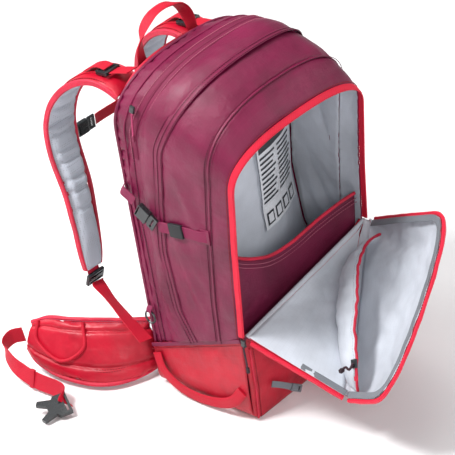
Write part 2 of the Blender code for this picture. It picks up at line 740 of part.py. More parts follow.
def build_hip_buckle(side, name, parent, origin):
    """Left: the pronged half. Right: the socket half. Each lies beyond the end of its belt webbing."""
    at = placed((side * 0.284, 0.174, 0.0140), (side * 0.87, 0.48, -0.08), (side * 0.207, -0.225, 0.905))
    if side < 0:
        outline = [
            (-0.020, -0.019), (-0.020, 0.019), (0.000, 0.019), (0.004, 0.014), (0.024, 0.020), (0.028, 0.014),
            (0.014, 0.005), (0.014, -0.005), (0.028, -0.014), (0.024, -0.020), (0.004, -0.014), (0.000, -0.019),
        ]
        obj = extrude_outline("hip_buckle_tongue", "plastic", outline, 0.007, at, parent, origin)
        cut(obj, (0.004, 0.030, 0.02), at @ Matrix.Translation((-0.0145, 0, 0)), parent, origin)
    else:
        obj = block("hip_buckle_socket", "plastic", (0.040, 0.042, 0.010), at, 0.0015, parent, origin)
        cut(obj, (0.030, 0.033, 0.0055), at @ Matrix.Translation((0.011, 0, 0)), parent, origin)
        cut(obj, (0.004, 0.030, 0.03), at @ Matrix.Translation((-0.0155, 0, 0)), parent, origin)


# Side straps and trim


def build_compression_strap(side, name, parent, origin):
    """Side strap holding skis or rope: rear webbing, side-release buckle and front webbing."""
    out = side * (BASE_HALF_W + 0.0075)
    rear = [(out, 0.0945, 0.3480), (out, 0.0840, 0.3415), (out, 0.0740, 0.3345)]
    band(f"compression_webbing_rear_{name}", "webbing", rear, lying_flat(rear, (1, 0, 0)), 0.018, WEBBING, 3)
    front = [(out, 0.0315, 0.3055), (out, 0.0100, 0.3085), (out, -0.0200, 0.3120), (out, -0.0600, 0.3140)]
    band(f"compression_webbing_front_{name}", "webbing", front, lying_flat(front, (1, 0, 0)), 0.018, WEBBING, 3)
    build_side_release(
        f"compression_buckle_{name}", (out + side * 0.0027, 0.0565, 0.3215), (0.0, -0.82, -0.57), (side, 0, 0),
        0.024, parent, origin, None, (0, 0, 0)
    )


def build_tail_loop(side, name):
    """Strap loop for a ski's tail, standing off the side of the base."""
    out = side * (BASE_HALF_W + 0.0060)
    near = side * (BASE_HALF_W + 0.0020)
    loop = [
        (near, 0.084, 0.0640), (out, 0.074, 0.0400), (out, 0.048, 0.0190), (out, 0.010, 0.0120),
        (out, -0.035, 0.0180), (out, -0.066, 0.0330), (near, -0.084, 0.0550),
    ]
    band(f"ski_tail_loop_{name}", "webbing", loop, lying_flat(loop, (1, 0, 0)), 0.018, WEBBING, 3)


def build_side_ring(side, name, parent, origin):
    centre = Vector((side * 0.1490, 0.083, 0.130))
    bm = bmesh.new()
    rings = []
    for k in range(16):
        a = 2 * math.pi * k / 16
        middle = centre + Vector((0, 0.0095 * math.cos(a), 0.0105 * math.sin(a)))
        outward = Vector((0, math.cos(a), math.sin(a)))
        ring = []
        for m in range(6):
            b = 2 * math.pi * m / 6
            ring.append(middle + outward * 0.0016 * math.cos(b) + Vector((0.0016 * math.sin(b), 0, 0)))
        rings.append([bm.verts.new(p - Vector(origin)) for p in ring])
    for k in range(16):
        for m in range(6):
            n = (m + 1) % 6
            bm.faces.new([rings[k][m], rings[k][n], rings[(k + 1) % 16][n], rings[(k + 1) % 16][m]])
    finish_mesh(f"side_ring_{name}", bm, "plastic", parent)


def build_zip_pull(name, at, along, out, drop, parent, origin):
    """A zip slider and its hanging cord pull; the pull's origin is on the slider's bridge."""
    block(f"{name}_slider", "plastic", (0.012, 0.008, 0.004), placed(at, along, out), 0.0010)
    path = [np.array(origin) + np.array(drop) * t for t in (0.0, 0.35, 0.7, 1.0)]
    tube(f"{name}_pull", "cord", path, 0.0018, 3, parent, origin)


clear_scene()
MATERIALS = make_materials()
LID_HINGE = (0.0, -0.0440, 0.5400)

build_main_bag()
build_front_shell()
build_base_boat()
build_base_front()
build_divider()
build_tool_pocket()
build_front_zip()

lid_hinge = empty("top_lid_hinge", LID_HINGE)
build_top_lid(lid_hinge)

AXIS_LEFT, AXIS_RIGHT = flap_axis()
FOLD_POINT = fold_start()
flap_hinge = empty("front_flap_hinge", AXIS_LEFT)
fold_hinge = empty("flap_fold_hinge", FOLD_POINT - AXIS_LEFT, flap_hinge)
flap_hinge.rotation_mode = "QUATERNION"
fold_hinge.rotation_mode = "QUATERNION"
flap_hinge.rotation_quaternion = Matrix.Rotation(FLAP_OPEN, 3, Vector(AXIS_RIGHT - AXIS_LEFT)).to_quaternion()
fold_hinge.rotation_quaternion = Matrix.Rotation(-FOLD_OPEN, 3, Vector(AXIS_RIGHT - FOLD_POINT)).to_quaternion()
build_flap_lower(flap_hinge, AXIS_LEFT)
build_flap_upper(fold_hinge, FOLD_POINT)
build_flap_rims(flap_hinge, AXIS_LEFT, fold_hinge, FOLD_POINT)
build_flap_pocket(fold_hinge, FOLD_POINT)

build_back_system()
build_haul_loop()
sternum = (0.0, 0.2760, 0.3500)
sternum_rail = empty("sternum_rail", sternum)
tongue_at = (-0.020, 0.2810, 0.3450)
sternum_tongue = empty("sternum_release", tongue_at)
build_sternum_strap(sternum_rail, sternum, sternum_tongue, tongue_at)
for side, name in ((-1, "left"), (1, "right")):
    build_shoulder_strap(side, name)
    root = (side * 0.1080, 0.1200, 0.0500)
    wing_hinge = empty(f"hip_wing_hinge_{name}", root)
    build_hip_wing(side, name, wing_hinge, root)
    build_belt_webbing(side, name, wing_hinge, root)
    buckle_at = (side * 0.2620, 0.1880, 0.0180)
    buckle_hinge = empty(f"hip_buckle_hinge_{name}", buckle_at)
    build_hip_buckle(side, name, buckle_hinge, buckle_at)
    release_at = (side * 0.1475, 0.0565, 0.3215)
    release = empty(f"compression_release_{name}", release_at)
    build_compression_strap(side, name, release, release_at)
    build_tail_loop(side, name)
    ring_at = (side * 0.1490, 0.083, 0.1405)
    ring_hinge = empty(f"side_ring_hinge_{name}", ring_at)
    build_side_ring(side, name, ring_hinge, ring_at)
main_pull_at = (-0.1480, 0.0510, 0.4830)
main_pull_hinge = empty("main_zip_pull_hinge", main_pull_at)
build_zip_pull("main_zip", (-0.1440, 0.0530, 0.4880), (0, -0.3, 1), (-1, 0, 0), (-0.001, 0.004, -0.042),
               main_pull_hinge, main_pull_at)
front_pull_at = (-0.1515, -0.1045, 0.1440)
front_pull_hinge = empty("front_zip_pull_hinge", front_pull_at)
build_zip_pull("front_zip", (-0.1475, -0.1020, 0.1480), (0, 0, 1), (-1, 0, 0), (-0.001, -0.004, -0.040),
               front_pull_hinge, front_pull_at)
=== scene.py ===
"""Looks of the ski touring backpack: fabric, zips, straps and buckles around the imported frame.

Metres, +Z up, +Y towards the wearer, -Y out of the opened front compartment.
"""

import math

import bmesh
import bpy
import numpy as np
from mathutils import Matrix, Vector


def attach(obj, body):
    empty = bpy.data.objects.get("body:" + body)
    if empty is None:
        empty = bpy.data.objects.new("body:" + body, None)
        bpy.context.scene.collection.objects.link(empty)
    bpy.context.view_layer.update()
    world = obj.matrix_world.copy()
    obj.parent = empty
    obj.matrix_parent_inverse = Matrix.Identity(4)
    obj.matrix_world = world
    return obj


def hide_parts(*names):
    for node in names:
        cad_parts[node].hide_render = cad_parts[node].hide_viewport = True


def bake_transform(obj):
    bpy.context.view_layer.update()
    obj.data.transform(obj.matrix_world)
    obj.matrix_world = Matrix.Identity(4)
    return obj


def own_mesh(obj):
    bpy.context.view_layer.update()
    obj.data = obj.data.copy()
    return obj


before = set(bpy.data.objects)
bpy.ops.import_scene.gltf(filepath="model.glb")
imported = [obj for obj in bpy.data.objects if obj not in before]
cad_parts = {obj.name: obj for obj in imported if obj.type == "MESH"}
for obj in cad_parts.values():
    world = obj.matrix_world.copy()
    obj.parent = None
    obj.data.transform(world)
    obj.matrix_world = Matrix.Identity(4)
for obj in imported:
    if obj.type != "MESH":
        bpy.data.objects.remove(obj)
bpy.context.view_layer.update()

# The camera: a long lens, turned to the pack's front left and rolled a little
CAMERA_AZIMUTH = math.radians(45.2)
CAMERA_ELEVATION = math.radians(30.6)
CAMERA_ROLL = math.radians(8.0)
CAMERA_DISTANCE = 3.315
CAMERA_LENS = 180.0
CAMERA_TARGET = Vector((0.0, -0.007, 0.30))
AIM_RIGHT = math.radians(-0.506)  # the view's centre lies this far beside and below the target
AIM_UP = math.radians(-0.977)

# Arch guides from the back edge to the front rim: half width, spring height, top height, top y, corner power,
# side profile as (z, y) pairs
BACK_EDGE = (0.138, 0.452, 0.528, 0.078, 0.80, ((0.07, 0.090), (0.30, 0.096), (0.48, 0.099)))
RIDGE = (0.138, 0.450, 0.537, 0.045, 0.80, ((0.07, 0.076), (0.30, 0.084), (0.48, 0.078)))
MAIN_ZIP = (0.139, 0.446, 0.545, 0.010, 0.80, ((0.07, 0.058), (0.30, 0.066), (0.48, 0.056)))
SIDE_SEAM = (
    0.145, 0.440, 0.541, -0.047, 0.82,
    ((0.11, -0.001), (0.16, 0.024), (0.26, 0.035), (0.34, 0.027), (0.43, 0.014), (0.48, -0.004)),
)
GUSSET = (
    0.146, 0.420, 0.508, -0.094, 0.82,
    ((0.13, -0.052), (0.20, -0.054), (0.30, -0.063), (0.41, -0.078)),
)
FRONT_RIM = (
    0.144, 0.405, 0.464, -0.124, 0.80,
    ((0.15, -0.092), (0.30, -0.102), (0.405, -0.113)),
)
SIDE_SHARE = 0.34
BASE_HALF_W = 0.143
BACK_Y = 0.093
FRONT_Y = -0.093
BASE_CORNER = 0.024
SEAM_BACK_Z = 0.076
SEAM_SLOPE = 0.39
ZIP_LEFT_Z = 0.153
ZIP_RIGHT_Z = 0.200
FOLD_Z = 0.328
FLAP_OPEN = math.radians(115.0)
FOLD_OPEN = math.radians(69.0)
FLAP_BULGE = 0.034
FLAP_EDGE_OUT = 0.0145
SHELL_THICK = 0.0022


# Small geometry helpers


def unit(v):
    v = np.asarray(v, float)
    return v / np.maximum(np.linalg.norm(v, axis=-1, keepdims=True), 1e-9)


def smooth_path(points, steps):
    """Catmull-Rom curve through the control rows, steps points per span."""
    p = np.array(points, float)
    p = np.vstack([2 * p[0] - p[1], p, 2 * p[-1] - p[-2]])
    out = []
    for k in range(1, len(p) - 2):
        a, b, c, d = p[k - 1], p[k], p[k + 1], p[k + 2]
        for t in np.linspace(0, 1, steps, endpoint=False):
            out.append(
                0.5 * (2 * b + (c - a) * t + (2 * a - 5 * b + 4 * c - d) * t**2 + (3 * b - a - 3 * c + d)
                       * t**3)
            )
    out.append(p[-2])
    return np.array(out)


def resample(path, step):
    """The same path with points step apart."""
    path = np.asarray(path, float)
    length = np.concatenate([[0], np.cumsum(np.linalg.norm(np.diff(path[:, :3], axis=0), axis=1))])
    count = max(int(round(length[-1] / step)), 2)
    at = np.linspace(0, length[-1], count + 1)
    return np.stack([np.interp(at, length, path[:, k]) for k in range(path.shape[1])], axis=1)


def path_length(path):
    return np.concatenate([[0], np.cumsum(np.linalg.norm(np.diff(path[:, :3], axis=0), axis=1))])


def wave_noise(u, v, scale_u, scale_v, seed, octaves=3):
    """Smooth repeatable noise over arrays u and v, between about -1 and 1."""
    rng = np.random.default_rng(seed)
    total = np.zeros(np.broadcast(u, v).shape)
    weight = 0.0
    for k in range(octaves):
        for _ in range(5):
            angle = rng.uniform(0, 2 * math.pi)
            phase = rng.uniform(0, 2 * math.pi)
            reach = 2**k * rng.uniform(0.6, 1.4)
            total += np.sin(
                2 * math.pi * reach * (u / scale_u * math.cos(angle) + v / scale_v * math.sin(angle)) + phase
            ) / 2**k
            weight += 1 / 2**k
    return total / weight * 1.8


def gathers(length, pitch, seed):
    """Gathered cloth's wave along a seam."""
    return wave_noise(length, length * 0, pitch, 1.0, seed, 2)


def sewn_edge(rows, columns, row_power, column_power):
    """1 in the middle of a grid, falling to 0 at its four edges."""
    across = np.sin(np.pi * np.linspace(0, 1, rows))[:, None] ** row_power
    return across * np.sin(np.pi * np.linspace(0, 1, columns))[None, :] ** column_power


def new_object(name, verts, faces, materials, face_slots=None, uvs=None, smooth=True):
    """A mesh object; uvs hold one pair for each corner of each face, in metres."""
    mesh = bpy.data.meshes.new(name)
    mesh.from_pydata([tuple(map(float, v)) for v in verts], [], [tuple(f) for f in faces])
    for made in materials:
        mesh.materials.append(made)
    if face_slots is not None:
        mesh.polygons.foreach_set("material_index", np.array(face_slots, np.int32))
    if uvs is not None:
        layer = mesh.uv_layers.new(name="UVMap")
        layer.data.foreach_set("uv", np.array(uvs, np.float32).reshape(-1))
    mesh.validate()
    obj = bpy.data.objects.new(name, mesh)
    bpy.context.scene.collection.objects.link(obj)
    if smooth:
        mesh.shade_smooth()
    return obj


def grid_normals(points):
    normal = np.cross(np.gradient(points, axis=0), np.gradient(points, axis=1))
    return unit(normal)


def grid_uv(points):
    """Arc length along both directions of a grid, in metres."""
    du = np.linalg.norm(np.diff(points, axis=0), axis=2).mean(axis=1)
    dv = np.linalg.norm(np.diff(points, axis=1), axis=2).mean(axis=0)
    u = np.concatenate([[0], np.cumsum(du)])
    v = np.concatenate([[0], np.cumsum(dv)])
    return np.stack(np.broadcast_arrays(u[:, None], v[None, :]), axis=2)


def cloth(name, points, thickness, outer, inner, edge):
    """A closed sheet: the grid of points is its outer face and thickness lies behind it.

    Positive thickness puts the lining on the side the grid's normal points to."""
    rows, cols, _ = points.shape
    back = points + grid_normals(points) * thickness
    uv = grid_uv(points)
    index = np.arange(2 * rows * cols).reshape(2, rows, cols)
    verts = np.concatenate([points.reshape(-1, 3), back.reshape(-1, 3)])
    faces, slots, uvs = [], [], []

    def add(corners, slot):
        corners = corners if thickness < 0 else corners[::-1]
        faces.append([index[corner] for corner in corners])
        slots.append(slot)
        uvs.extend(uv[i, j] + (0.0 if s == 0 or slot != 2 else thickness) for s, i, j in corners)

    for i in range(rows - 1):
        for j in range(cols - 1):
            ring = [(i, j), (i + 1, j), (i + 1, j + 1), (i, j + 1)]
            add([(0, *corner) for corner in ring], 0)
            add([(1, *corner) for corner in reversed(ring)], 1)
            for k, at_border in enumerate((j == 0, i == rows - 2, j == cols - 2, i == 0)):
                if at_border:
                    p, q = ring[k], ring[(k + 1) % 4]
                    add([(0, *q), (0, *p), (1, *p), (1, *q)], 2)
    return new_object(name, verts, faces, [outer, inner, edge], slots, uvs)


def path_table(path, across):
    """Rows of path point and width direction; across is one direction or one for each point."""
    path = np.array(path, float)
    return np.hstack([path, np.array(across, float) * np.ones((len(path), 3))])


def path_frames(table):
    """Centre line, and the directions across, along and out of a strip that follows it."""
    centre, wide = table[:, :3], table[:, 3:6]
    tangent = unit(np.gradient(centre, axis=0))
    wide = unit(wide - tangent * (wide * tangent).sum(axis=1, keepdims=True))
    return centre, wide, tangent, np.cross(tangent, wide)


def sweep(name, path, across, profile, material, step=0.004, wobble=0.0):
    """Sweeps a closed profile of (across, out) points along a path."""
    table = resample(smooth_path(path_table(path, across), 8), step)
    centre, wide, _, out = path_frames(table)
    along = path_length(centre)
    shape = np.array(profile)
    rings = np.array([[c + w * a + o * b for a, b in profile] for c, w, o in zip(centre, wide, out)])
    rows, count, _ = rings.shape
    if wobble:
        wave = wave_noise(along[:, None], np.arange(count)[None, :] * 0.002, 0.05, 0.05, len(name))
        rings += out[:, None, :] * (wave * wobble)[:, :, None]
    girth = path_length(np.vstack([shape, shape[:1]]))
    faces, uvs = [], []
    for i in range(rows - 1):
        for j in range(count):
            n = (j + 1) % count
            faces.append([i * count + j, i * count + n, (i + 1) * count + n, (i + 1) * count + j])
            uvs += [(along[i], girth[j]), (along[i], girth[j + 1]), (along[i + 1], girth[j + 1]),
                    (along[i + 1], girth[j])]
    cap = [tuple(corner) for corner in shape]
    faces += [list(range(count))[::-1], [(rows - 1) * count + j for j in range(count)]]
    uvs += cap[::-1] + cap
    obj = new_object(name, rings.reshape(-1, 3), faces, [material], uvs=uvs)
    obj.data.set_sharp_from_angle(angle=math.radians(50))
    return obj


# Materials


class Graph:
    """A Principled material whose nodes are added one by one."""

    def __init__(self, name, roughness=0.6, metallic=0.0, sheen=0.0, sheen_tint=None, coat=0.0, specular=0.5):
        self.material = bpy.data.materials.new(name)
        self.material.use_nodes = True
        self.tree = self.material.node_tree
        self.shader = self.tree.nodes["Principled BSDF"]
        self.shader.inputs["Roughness"].default_value = roughness
        self.shader.inputs["Metallic"].default_value = metallic
        self.shader.inputs["Sheen Weight"].default_value = sheen
        self.shader.inputs["Sheen Roughness"].default_value = 0.35
        if sheen_tint:
            self.shader.inputs["Sheen Tint"].default_value = (*sheen_tint, 1.0)
        self.shader.inputs["Coat Weight"].default_value = coat
        self.shader.inputs["Specular IOR Level"].default_value = specular
        self.coordinates = self.tree.nodes.new("ShaderNodeTexCoord")

    def node(self, kind, values=None, **settings):
        made = self.tree.nodes.new(kind)
        for key, value in settings.items():
            setattr(made, key, value)
        for key, value in (values or {}).items():
            self.put(made.inputs[key], value)
        return made

    def put(self, socket, value):
        if hasattr(value, "is_output"):
            self.tree.links.new(value, socket)
        else:
            socket.default_value = value

    def math(self, operation, a, b=None):
        made = self.node("ShaderNodeMath", operation=operation)
        self.put(made.inputs[0], a)
        if b is not None:
            self.put(made.inputs[1], b)
        return made.outputs[0]

    def noise(self, space, scale, detail=3.0, roughness=0.55):
        made = self.node("ShaderNodeTexNoise", {"Scale": scale, "Detail": detail, "Roughness": roughness})
        self.put(made.inputs["Vector"], self.coordinates.outputs[space])
        return made.outputs[0]

    def bands(self, space, period, direction):
        """A wave of the given period in metres along one coordinate."""
        made = self.node("ShaderNodeTexWave", {"Scale": math.pi / 10 / period})
        made.bands_direction = direction
        self.put(made.inputs["Vector"], self.coordinates.outputs[space])
        return made.outputs["Fac"]

    def lines(self, space, period, direction, sharpness):
        """Thin lines a period apart: 1 on the line and 0 between."""
        made = self.node("ShaderNodeMapRange", {"From Min": sharpness, "From Max": 1.0})
        self.put(made.inputs["Value"], self.bands(space, period, direction))
        return made.outputs[0]

    def ramp(self, value, stops):
        made = self.node("ShaderNodeValToRGB")
        ramp = made.color_ramp
        while len(ramp.elements) < len(stops):
            ramp.elements.new(0.5)
        for element, (at, colour) in zip(ramp.elements, stops):
            element.position = at
            element.color = (*colour, 1.0)
        self.put(made.inputs[0], value)
        return made.outputs[0]

    def mix(self, factor, a, b):
        made = self.node("ShaderNodeMix", data_type="RGBA")
        self.put(made.inputs[0], factor)
        for socket, value in ((made.inputs[6], a), (made.inputs[7], b)):
            self.put(socket, value if hasattr(value, "is_output") else (*value, 1.0))
        return made.outputs[2]

    def bump(self, height, distance, strength=1.0, after=None):
        made = self.node("ShaderNodeBump", {"Strength": strength, "Distance": distance, "Height": height})
        if after is not None:
            self.put(made.inputs["Normal"], after)
        return made.outputs[0]

    def finish(self, colour, normal, roughness=None):
        self.put(self.shader.inputs["Base Color"], colour)
        self.put(self.shader.inputs["Normal"], normal)
        if roughness is not None:
            self.put(self.shader.inputs["Roughness"], roughness)
        return self.material


YARN = 0.00085
RIPSTOP = 0.0052
MESH_HOLE = 0.0034


def scaled(colour, factor):
    return tuple(min(c * factor, 1.0) for c in colour)


def nylon(name, colour, sheen, roughness, sheen_weight=0.05):
    """Ripstop nylon: fine plain weave, a raised reinforcing grid and soft tone changes from handling."""
    g = Graph(name, roughness, 0.0, sheen_weight, sheen, 0.0, 0.42)
    tone = g.noise("Object", 16.0, 4.0)
    base = g.ramp(tone, [(0.30, scaled(colour, 0.70)), (0.52, colour), (0.75, scaled(colour, 1.22))])
    weave = g.math("MULTIPLY", g.bands("UV", YARN, "X"), g.bands("UV", YARN, "Y"))
    grid_lines = g.math("MAXIMUM", g.lines("UV", RIPSTOP, "X", 0.965), g.lines("UV", RIPSTOP, "Y", 0.965))
    marked = g.mix(g.math("MULTIPLY", grid_lines, 0.16), base, scaled(colour, 1.7))
    fine = g.mix(g.math("MULTIPLY", weave, 0.10), marked, scaled(colour, 0.6))
    crumple = g.noise("Object", 90.0, 3.0, 0.5)
    slack = g.noise("Object", 26.0, 3.0, 0.5)
    normal = g.bump(g.math("ADD", weave, g.math("MULTIPLY", grid_lines, 0.7)), 0.00020, 0.6)
    normal = g.bump(crumple, 0.0014, 0.45, normal)
    normal = g.bump(slack, 0.0060, 0.35, normal)
    rough = g.node("ShaderNodeMapRange", {"To Min": roughness - 0.07, "To Max": roughness + 0.10})
    g.put(rough.inputs["Value"], g.noise("Object", 40.0, 2.0))
    return g.finish(fine, normal, rough.outputs[0])


def webbing_material(name, colour, sheen):
    """Woven webbing: ribs across the strap, a herringbone along it, with painted shade darkening the valleys
    and painted highlight lightening the rib tops.
    """
    g = Graph(name, 0.55, 0.0, 0.04, sheen, 0.0, 0.30)
    ribs = g.bands("UV", 0.0016, "X")
    yarns = g.bands("UV", 0.0011, "Y")
    twill = g.bands("UV", 0.0023, "DIAGONAL")
    height = g.math("ADD", g.math("MULTIPLY", ribs, yarns), g.math("MULTIPLY", twill, 0.5))
    tone = g.mix(g.noise("Object", 22.0), scaled(colour, 0.82), scaled(colour, 1.18))
    # painted shade and highlight: the weave's low valleys darker, its raised yarns lighter
    weave_painted_shade_colour = g.mix(g.math("MULTIPLY", height, 0.35), tone, scaled(colour, 1.45))
    return g.finish(weave_painted_shade_colour, g.bump(height, 0.00028, 0.8))


def lining_material(name, colour, roughness=0.5):
    """Thin coated lining with faint creases and a fine weave."""
    g = Graph(name, roughness, 0.0, 0.15, (1.0, 1.0, 1.0), 0.0, 0.4)
    tone = g.ramp(g.noise("Object", 12.0, 5.0), [(0.30, scaled(colour, 0.80)), (0.70, scaled(colour, 1.08))])
    weave = g.math("MULTIPLY", g.bands("UV", 0.0009, "X"), g.bands("UV", 0.0009, "Y"))
    diamonds = g.math("MAXIMUM", g.lines("UV", 0.0044, "X", 0.97), g.lines("UV", 0.0044, "Y", 0.97))
    shade = g.mix(g.math("MULTIPLY", diamonds, 0.20), tone, scaled(colour, 0.72))
    normal = g.bump(weave, 0.00012, 0.5)
    normal = g.bump(g.noise("Object", 70.0, 4.0, 0.6), 0.0014, 0.4, normal)
    return g.finish(shade, normal)


def padding_material(name, colour):
    """Air-mesh padding: a honeycomb of small holes, painted dark as the shade inside them, over a soft knit.
    """
    g = Graph(name, 0.8, 0.0, 0.15, scaled(colour, 1.3), 0.0, 0.25)
    cells = g.node("ShaderNodeTexVoronoi", {"Scale": 1.0 / MESH_HOLE, "Randomness": 0.15})
    g.put(cells.inputs["Vector"], g.coordinates.outputs["Object"])
    holes = g.node("ShaderNodeMapRange", {"From Min": 0.10, "From Max": 0.34})
    g.put(holes.inputs["Value"], cells.outputs["Distance"])
    tone = g.mix(g.noise("Object", 14.0), scaled(colour, 0.86), scaled(colour, 1.12))
    # painted shade: the holes darker, as the shade inside them
    shade = g.mix(holes.outputs[0], scaled(colour, 0.62), tone)
    return g.finish(shade, g.bump(holes.outputs[0], 0.0005, 0.7))


def foam_material(name, colour):
    """Coarse knitted foam cover for the back panel, its sunk pits painted darker as shade."""
    g = Graph(name, 0.9, 0.0, 0.5, (0.5, 0.5, 0.55), 0.0, 0.2)
    cells = g.node("ShaderNodeTexVoronoi", {"Scale": 230.0, "Randomness": 0.25})
    g.put(cells.inputs["Vector"], g.coordinates.outputs["Object"])
    tone = g.mix(g.noise("Object", 18.0), scaled(colour, 0.75), scaled(colour, 1.3))
    # painted shade: the knit's pits, lowest in the bump, darker
    shade = g.mix(cells.outputs["Distance"], scaled(colour, 0.45), tone)
    return g.finish(shade, g.bump(cells.outputs["Distance"], 0.0007, 0.8))


def plastic_material(name, colour, roughness):
    """Moulded acetal: fine spark texture, faint scuffs and slight tone drift."""
    g = Graph(name, roughness, 0.0, 0.0, None, 0.12, 0.5)
    tone = g.mix(g.noise("Object", 60.0), scaled(colour, 0.8), scaled(colour, 1.5))
    scuffs = g.node("ShaderNodeMapRange", {"From Min": 0.58, "From Max": 0.80})
    g.put(scuffs.inputs["Value"], g.noise("Object", 240.0, 6.0, 0.7))
    shade = g.mix(g.math("MULTIPLY", scuffs.outputs[0], 0.20), tone, (0.12, 0.13, 0.14))
    rough = g.node("ShaderNodeMapRange", {"To Min": roughness - 0.06, "To Max": roughness + 0.14})
    g.put(rough.inputs["Value"], scuffs.outputs[0])
    return g.finish(shade, g.bump(g.noise("Object", 1500.0, 2.0), 0.00006, 0.5), rough.outputs[0])


def metal_material(name, colour, roughness):
    g = Graph(name, roughness, 1.0)
    brushed = g.node("ShaderNodeTexNoise", {"Scale": 300.0, "Detail": 4.0})
    stretch = g.node("ShaderNodeMapping", {"Scale": (1.0, 1.0, 0.02)})
    g.put(stretch.inputs["Vector"], g.coordinates.outputs["Object"])
    g.put(brushed.inputs["Vector"], stretch.outputs[0])
    shade = g.mix(brushed.outputs[0], scaled(colour, 0.8), scaled(colour, 1.1))
    return g.finish(shade, g.bump(brushed.outputs[0], 0.00005, 0.4))


def cord_material(name, colour):
    """Braided cord: two crossing diagonal strands, with painted shade in the grooves between them and painted
    highlight on the strand tops.
    """
    g = Graph(name, 0.6, 0.0, 0.3, scaled(colour, 2.0), 0.0, 0.3)
    one = g.bands("UV", 0.0018, "DIAGONAL")
    flip = g.node("ShaderNodeMapping", {"Scale": (-1.0, 1.0, 1.0)})
    g.put(flip.inputs["Vector"], g.coordinates.outputs["UV"])
    two = g.node("ShaderNodeTexWave", {"Scale": math.pi / 10 / 0.0018})
    two.bands_direction = "DIAGONAL"
    g.put(two.inputs["Vector"], flip.outputs[0])
    height = g.math("MAXIMUM", one, two.outputs["Fac"])
    # painted shade: the grooves between strands darker, the raised strands lighter
    return g.finish(g.mix(height, scaled(colour, 0.45), scaled(colour, 1.2)), g.bump(height, 0.0003, 0.8))


CRANBERRY = (0.165, 0.002, 0.040)
WINE = (0.135, 0.006, 0.036)
RED = (0.460, 0.002, 0.020)
CORAL = (0.550, 0.006, 0.038)
SILVER_GREY = (0.560, 0.590, 0.650)
PINK_SHEEN = (1.0, 0.45, 0.70)
CORAL_SHEEN = (1.0, 0.45, 0.50)

SHELL = nylon("shell_nylon", CRANBERRY, PINK_SHEEN, 0.36, sheen_weight=0.02)
SHELL_DARK = nylon("tool_pocket_nylon", WINE, (0.8, 0.3, 0.5), 0.5)
RED_NYLON = nylon("red_nylon", RED, CORAL_SHEEN, 0.42, sheen_weight=0.02)
RED_PLAIN = nylon("red_binding", CORAL, CORAL_SHEEN, 0.5)
WEBBING = webbing_material("red_webbing", RED, CORAL_SHEEN)
SIDE_WEBBING = webbing_material("cranberry_webbing", (0.19, 0.009, 0.052), PINK_SHEEN)
LINING = lining_material("grey_lining", SILVER_GREY)
DARK_LINING = lining_material("dark_grey_lining", (0.095, 0.105, 0.120))
PADDING = padding_material("grey_padding", (0.50, 0.53, 0.60))
FOAM = foam_material("back_foam", (0.060, 0.062, 0.068))
PLASTIC = plastic_material("black_acetal", (0.011, 0.013, 0.015), 0.32)
STEEL = metal_material("slider_metal", (0.50, 0.51, 0.53), 0.32)
CORD = cord_material("pull_cord", (0.42, 0.045, 0.13))
DARK_CORD = cord_material("dark_cord", (0.05, 0.02, 0.03))
LABEL = lining_material("printed_label", (0.74, 0.76, 0.80), 0.4)
DARK_TAPE = webbing_material("dark_grey_tape", (0.16, 0.17, 0.19), (0.6, 0.6, 0.65))
INK = lining_material("label_ink", (0.030, 0.034, 0.042), 0.5)
STITCH_DARK = cord_material("dark_thread", (0.13, 0.006, 0.036))
STITCH_PINK = cord_material("pink_thread", (0.80, 0.22, 0.33))
STITCH_GREY = cord_material("grey_thread", (0.30, 0.32, 0.36))
STITCH_RED = cord_material("red_thread", (0.45, 0.02, 0.04))
ZIP_WINE = webbing_material("wine_zip", (0.15, 0.007, 0.040), PINK_SHEEN)
BLACK_WEBBING = webbing_material("black_webbing", (0.016, 0.018, 0.020), (0.4, 0.4, 0.42))
ZIP_RED = webbing_material("red_zip", (0.62, 0.010, 0.038), CORAL_SHEEN)


# The bag's surface


def seam_z(y):
    return SEAM_BACK_Z + SEAM_SLOPE * (BACK_Y - y)


def guide_point(guide, s):
    """A point on an arch guide, s from 0 (left, on the base seam) over the top to 1 (right)."""
    half_w, spring, top, top_y, power, profile = guide
    heights = [z for z, _ in profile]
    depths = [y for _, y in profile]
    low = seam_z(float(np.interp(0.11, heights, depths))) + 0.0005
    mirrored = s > 0.5
    s = 1 - s if mirrored else s
    if s < SIDE_SHARE:
        z = low + (spring - low) * s / SIDE_SHARE
        x = -half_w
        y = float(np.interp(z, heights, depths))
    else:
        angle = math.pi / 2 * (s - SIDE_SHARE) / (0.5 - SIDE_SHARE)
        rise = math.sin(angle) ** power
        z = spring + (top - spring) * rise
        x = -half_w * max(math.cos(angle), 0.0) ** power
        side_y = float(np.interp(spring, heights, depths))
        y = side_y + (top_y - side_y) * rise
    return np.array((-x if mirrored else x, y, z))


def guide_curve(guide, s):
    """The guide at many arch positions, with its corners eased."""
    curve = np.array([guide_point(guide, v) for v in s])
    for _ in range(6):
        curve[1:-1] = curve[1:-1] * 0.5 + (curve[:-2] + curve[2:]) * 0.25
    return curve


def arch_s(count):
    """Arch positions, closer together round the shoulders."""
    t = np.linspace(0, 1, count)
    return t + 0.035 * np.sin(4 * math.pi * t) / math.pi


def panel(first, second, s, columns, share=(0.0, 1.0)):
    """Grid of points between two guides; rows follow s and columns run from first to second."""
    a, b = guide_curve(first, s), guide_curve(second, s)
    u = np.linspace(*share, columns)
    return a[:, None, :] + (b - a)[:, None, :] * u[None, :, None], u


def push_out(points, amount):
    return points - grid_normals(points) * amount[:, :, None]


def ridge(y, z, start, end, width, height):
    """A fold along a line on the bag's side, as a height over (y, z)."""
    start, end = np.array(start), np.array(end)
    d = end - start
    length = np.linalg.norm(d)
    d = d / length
    along = (y - start[0]) * d[0] + (z - start[1]) * d[1]
    off = (y - start[0]) * -d[1] + (z - start[1]) * d[0]
    inside = np.clip(along / length, 0, 1)
    taper = np.sin(np.pi * inside) ** 0.6 * ((along > 0) & (along < length))
    return height * np.exp(-((off / width) ** 2)) * taper


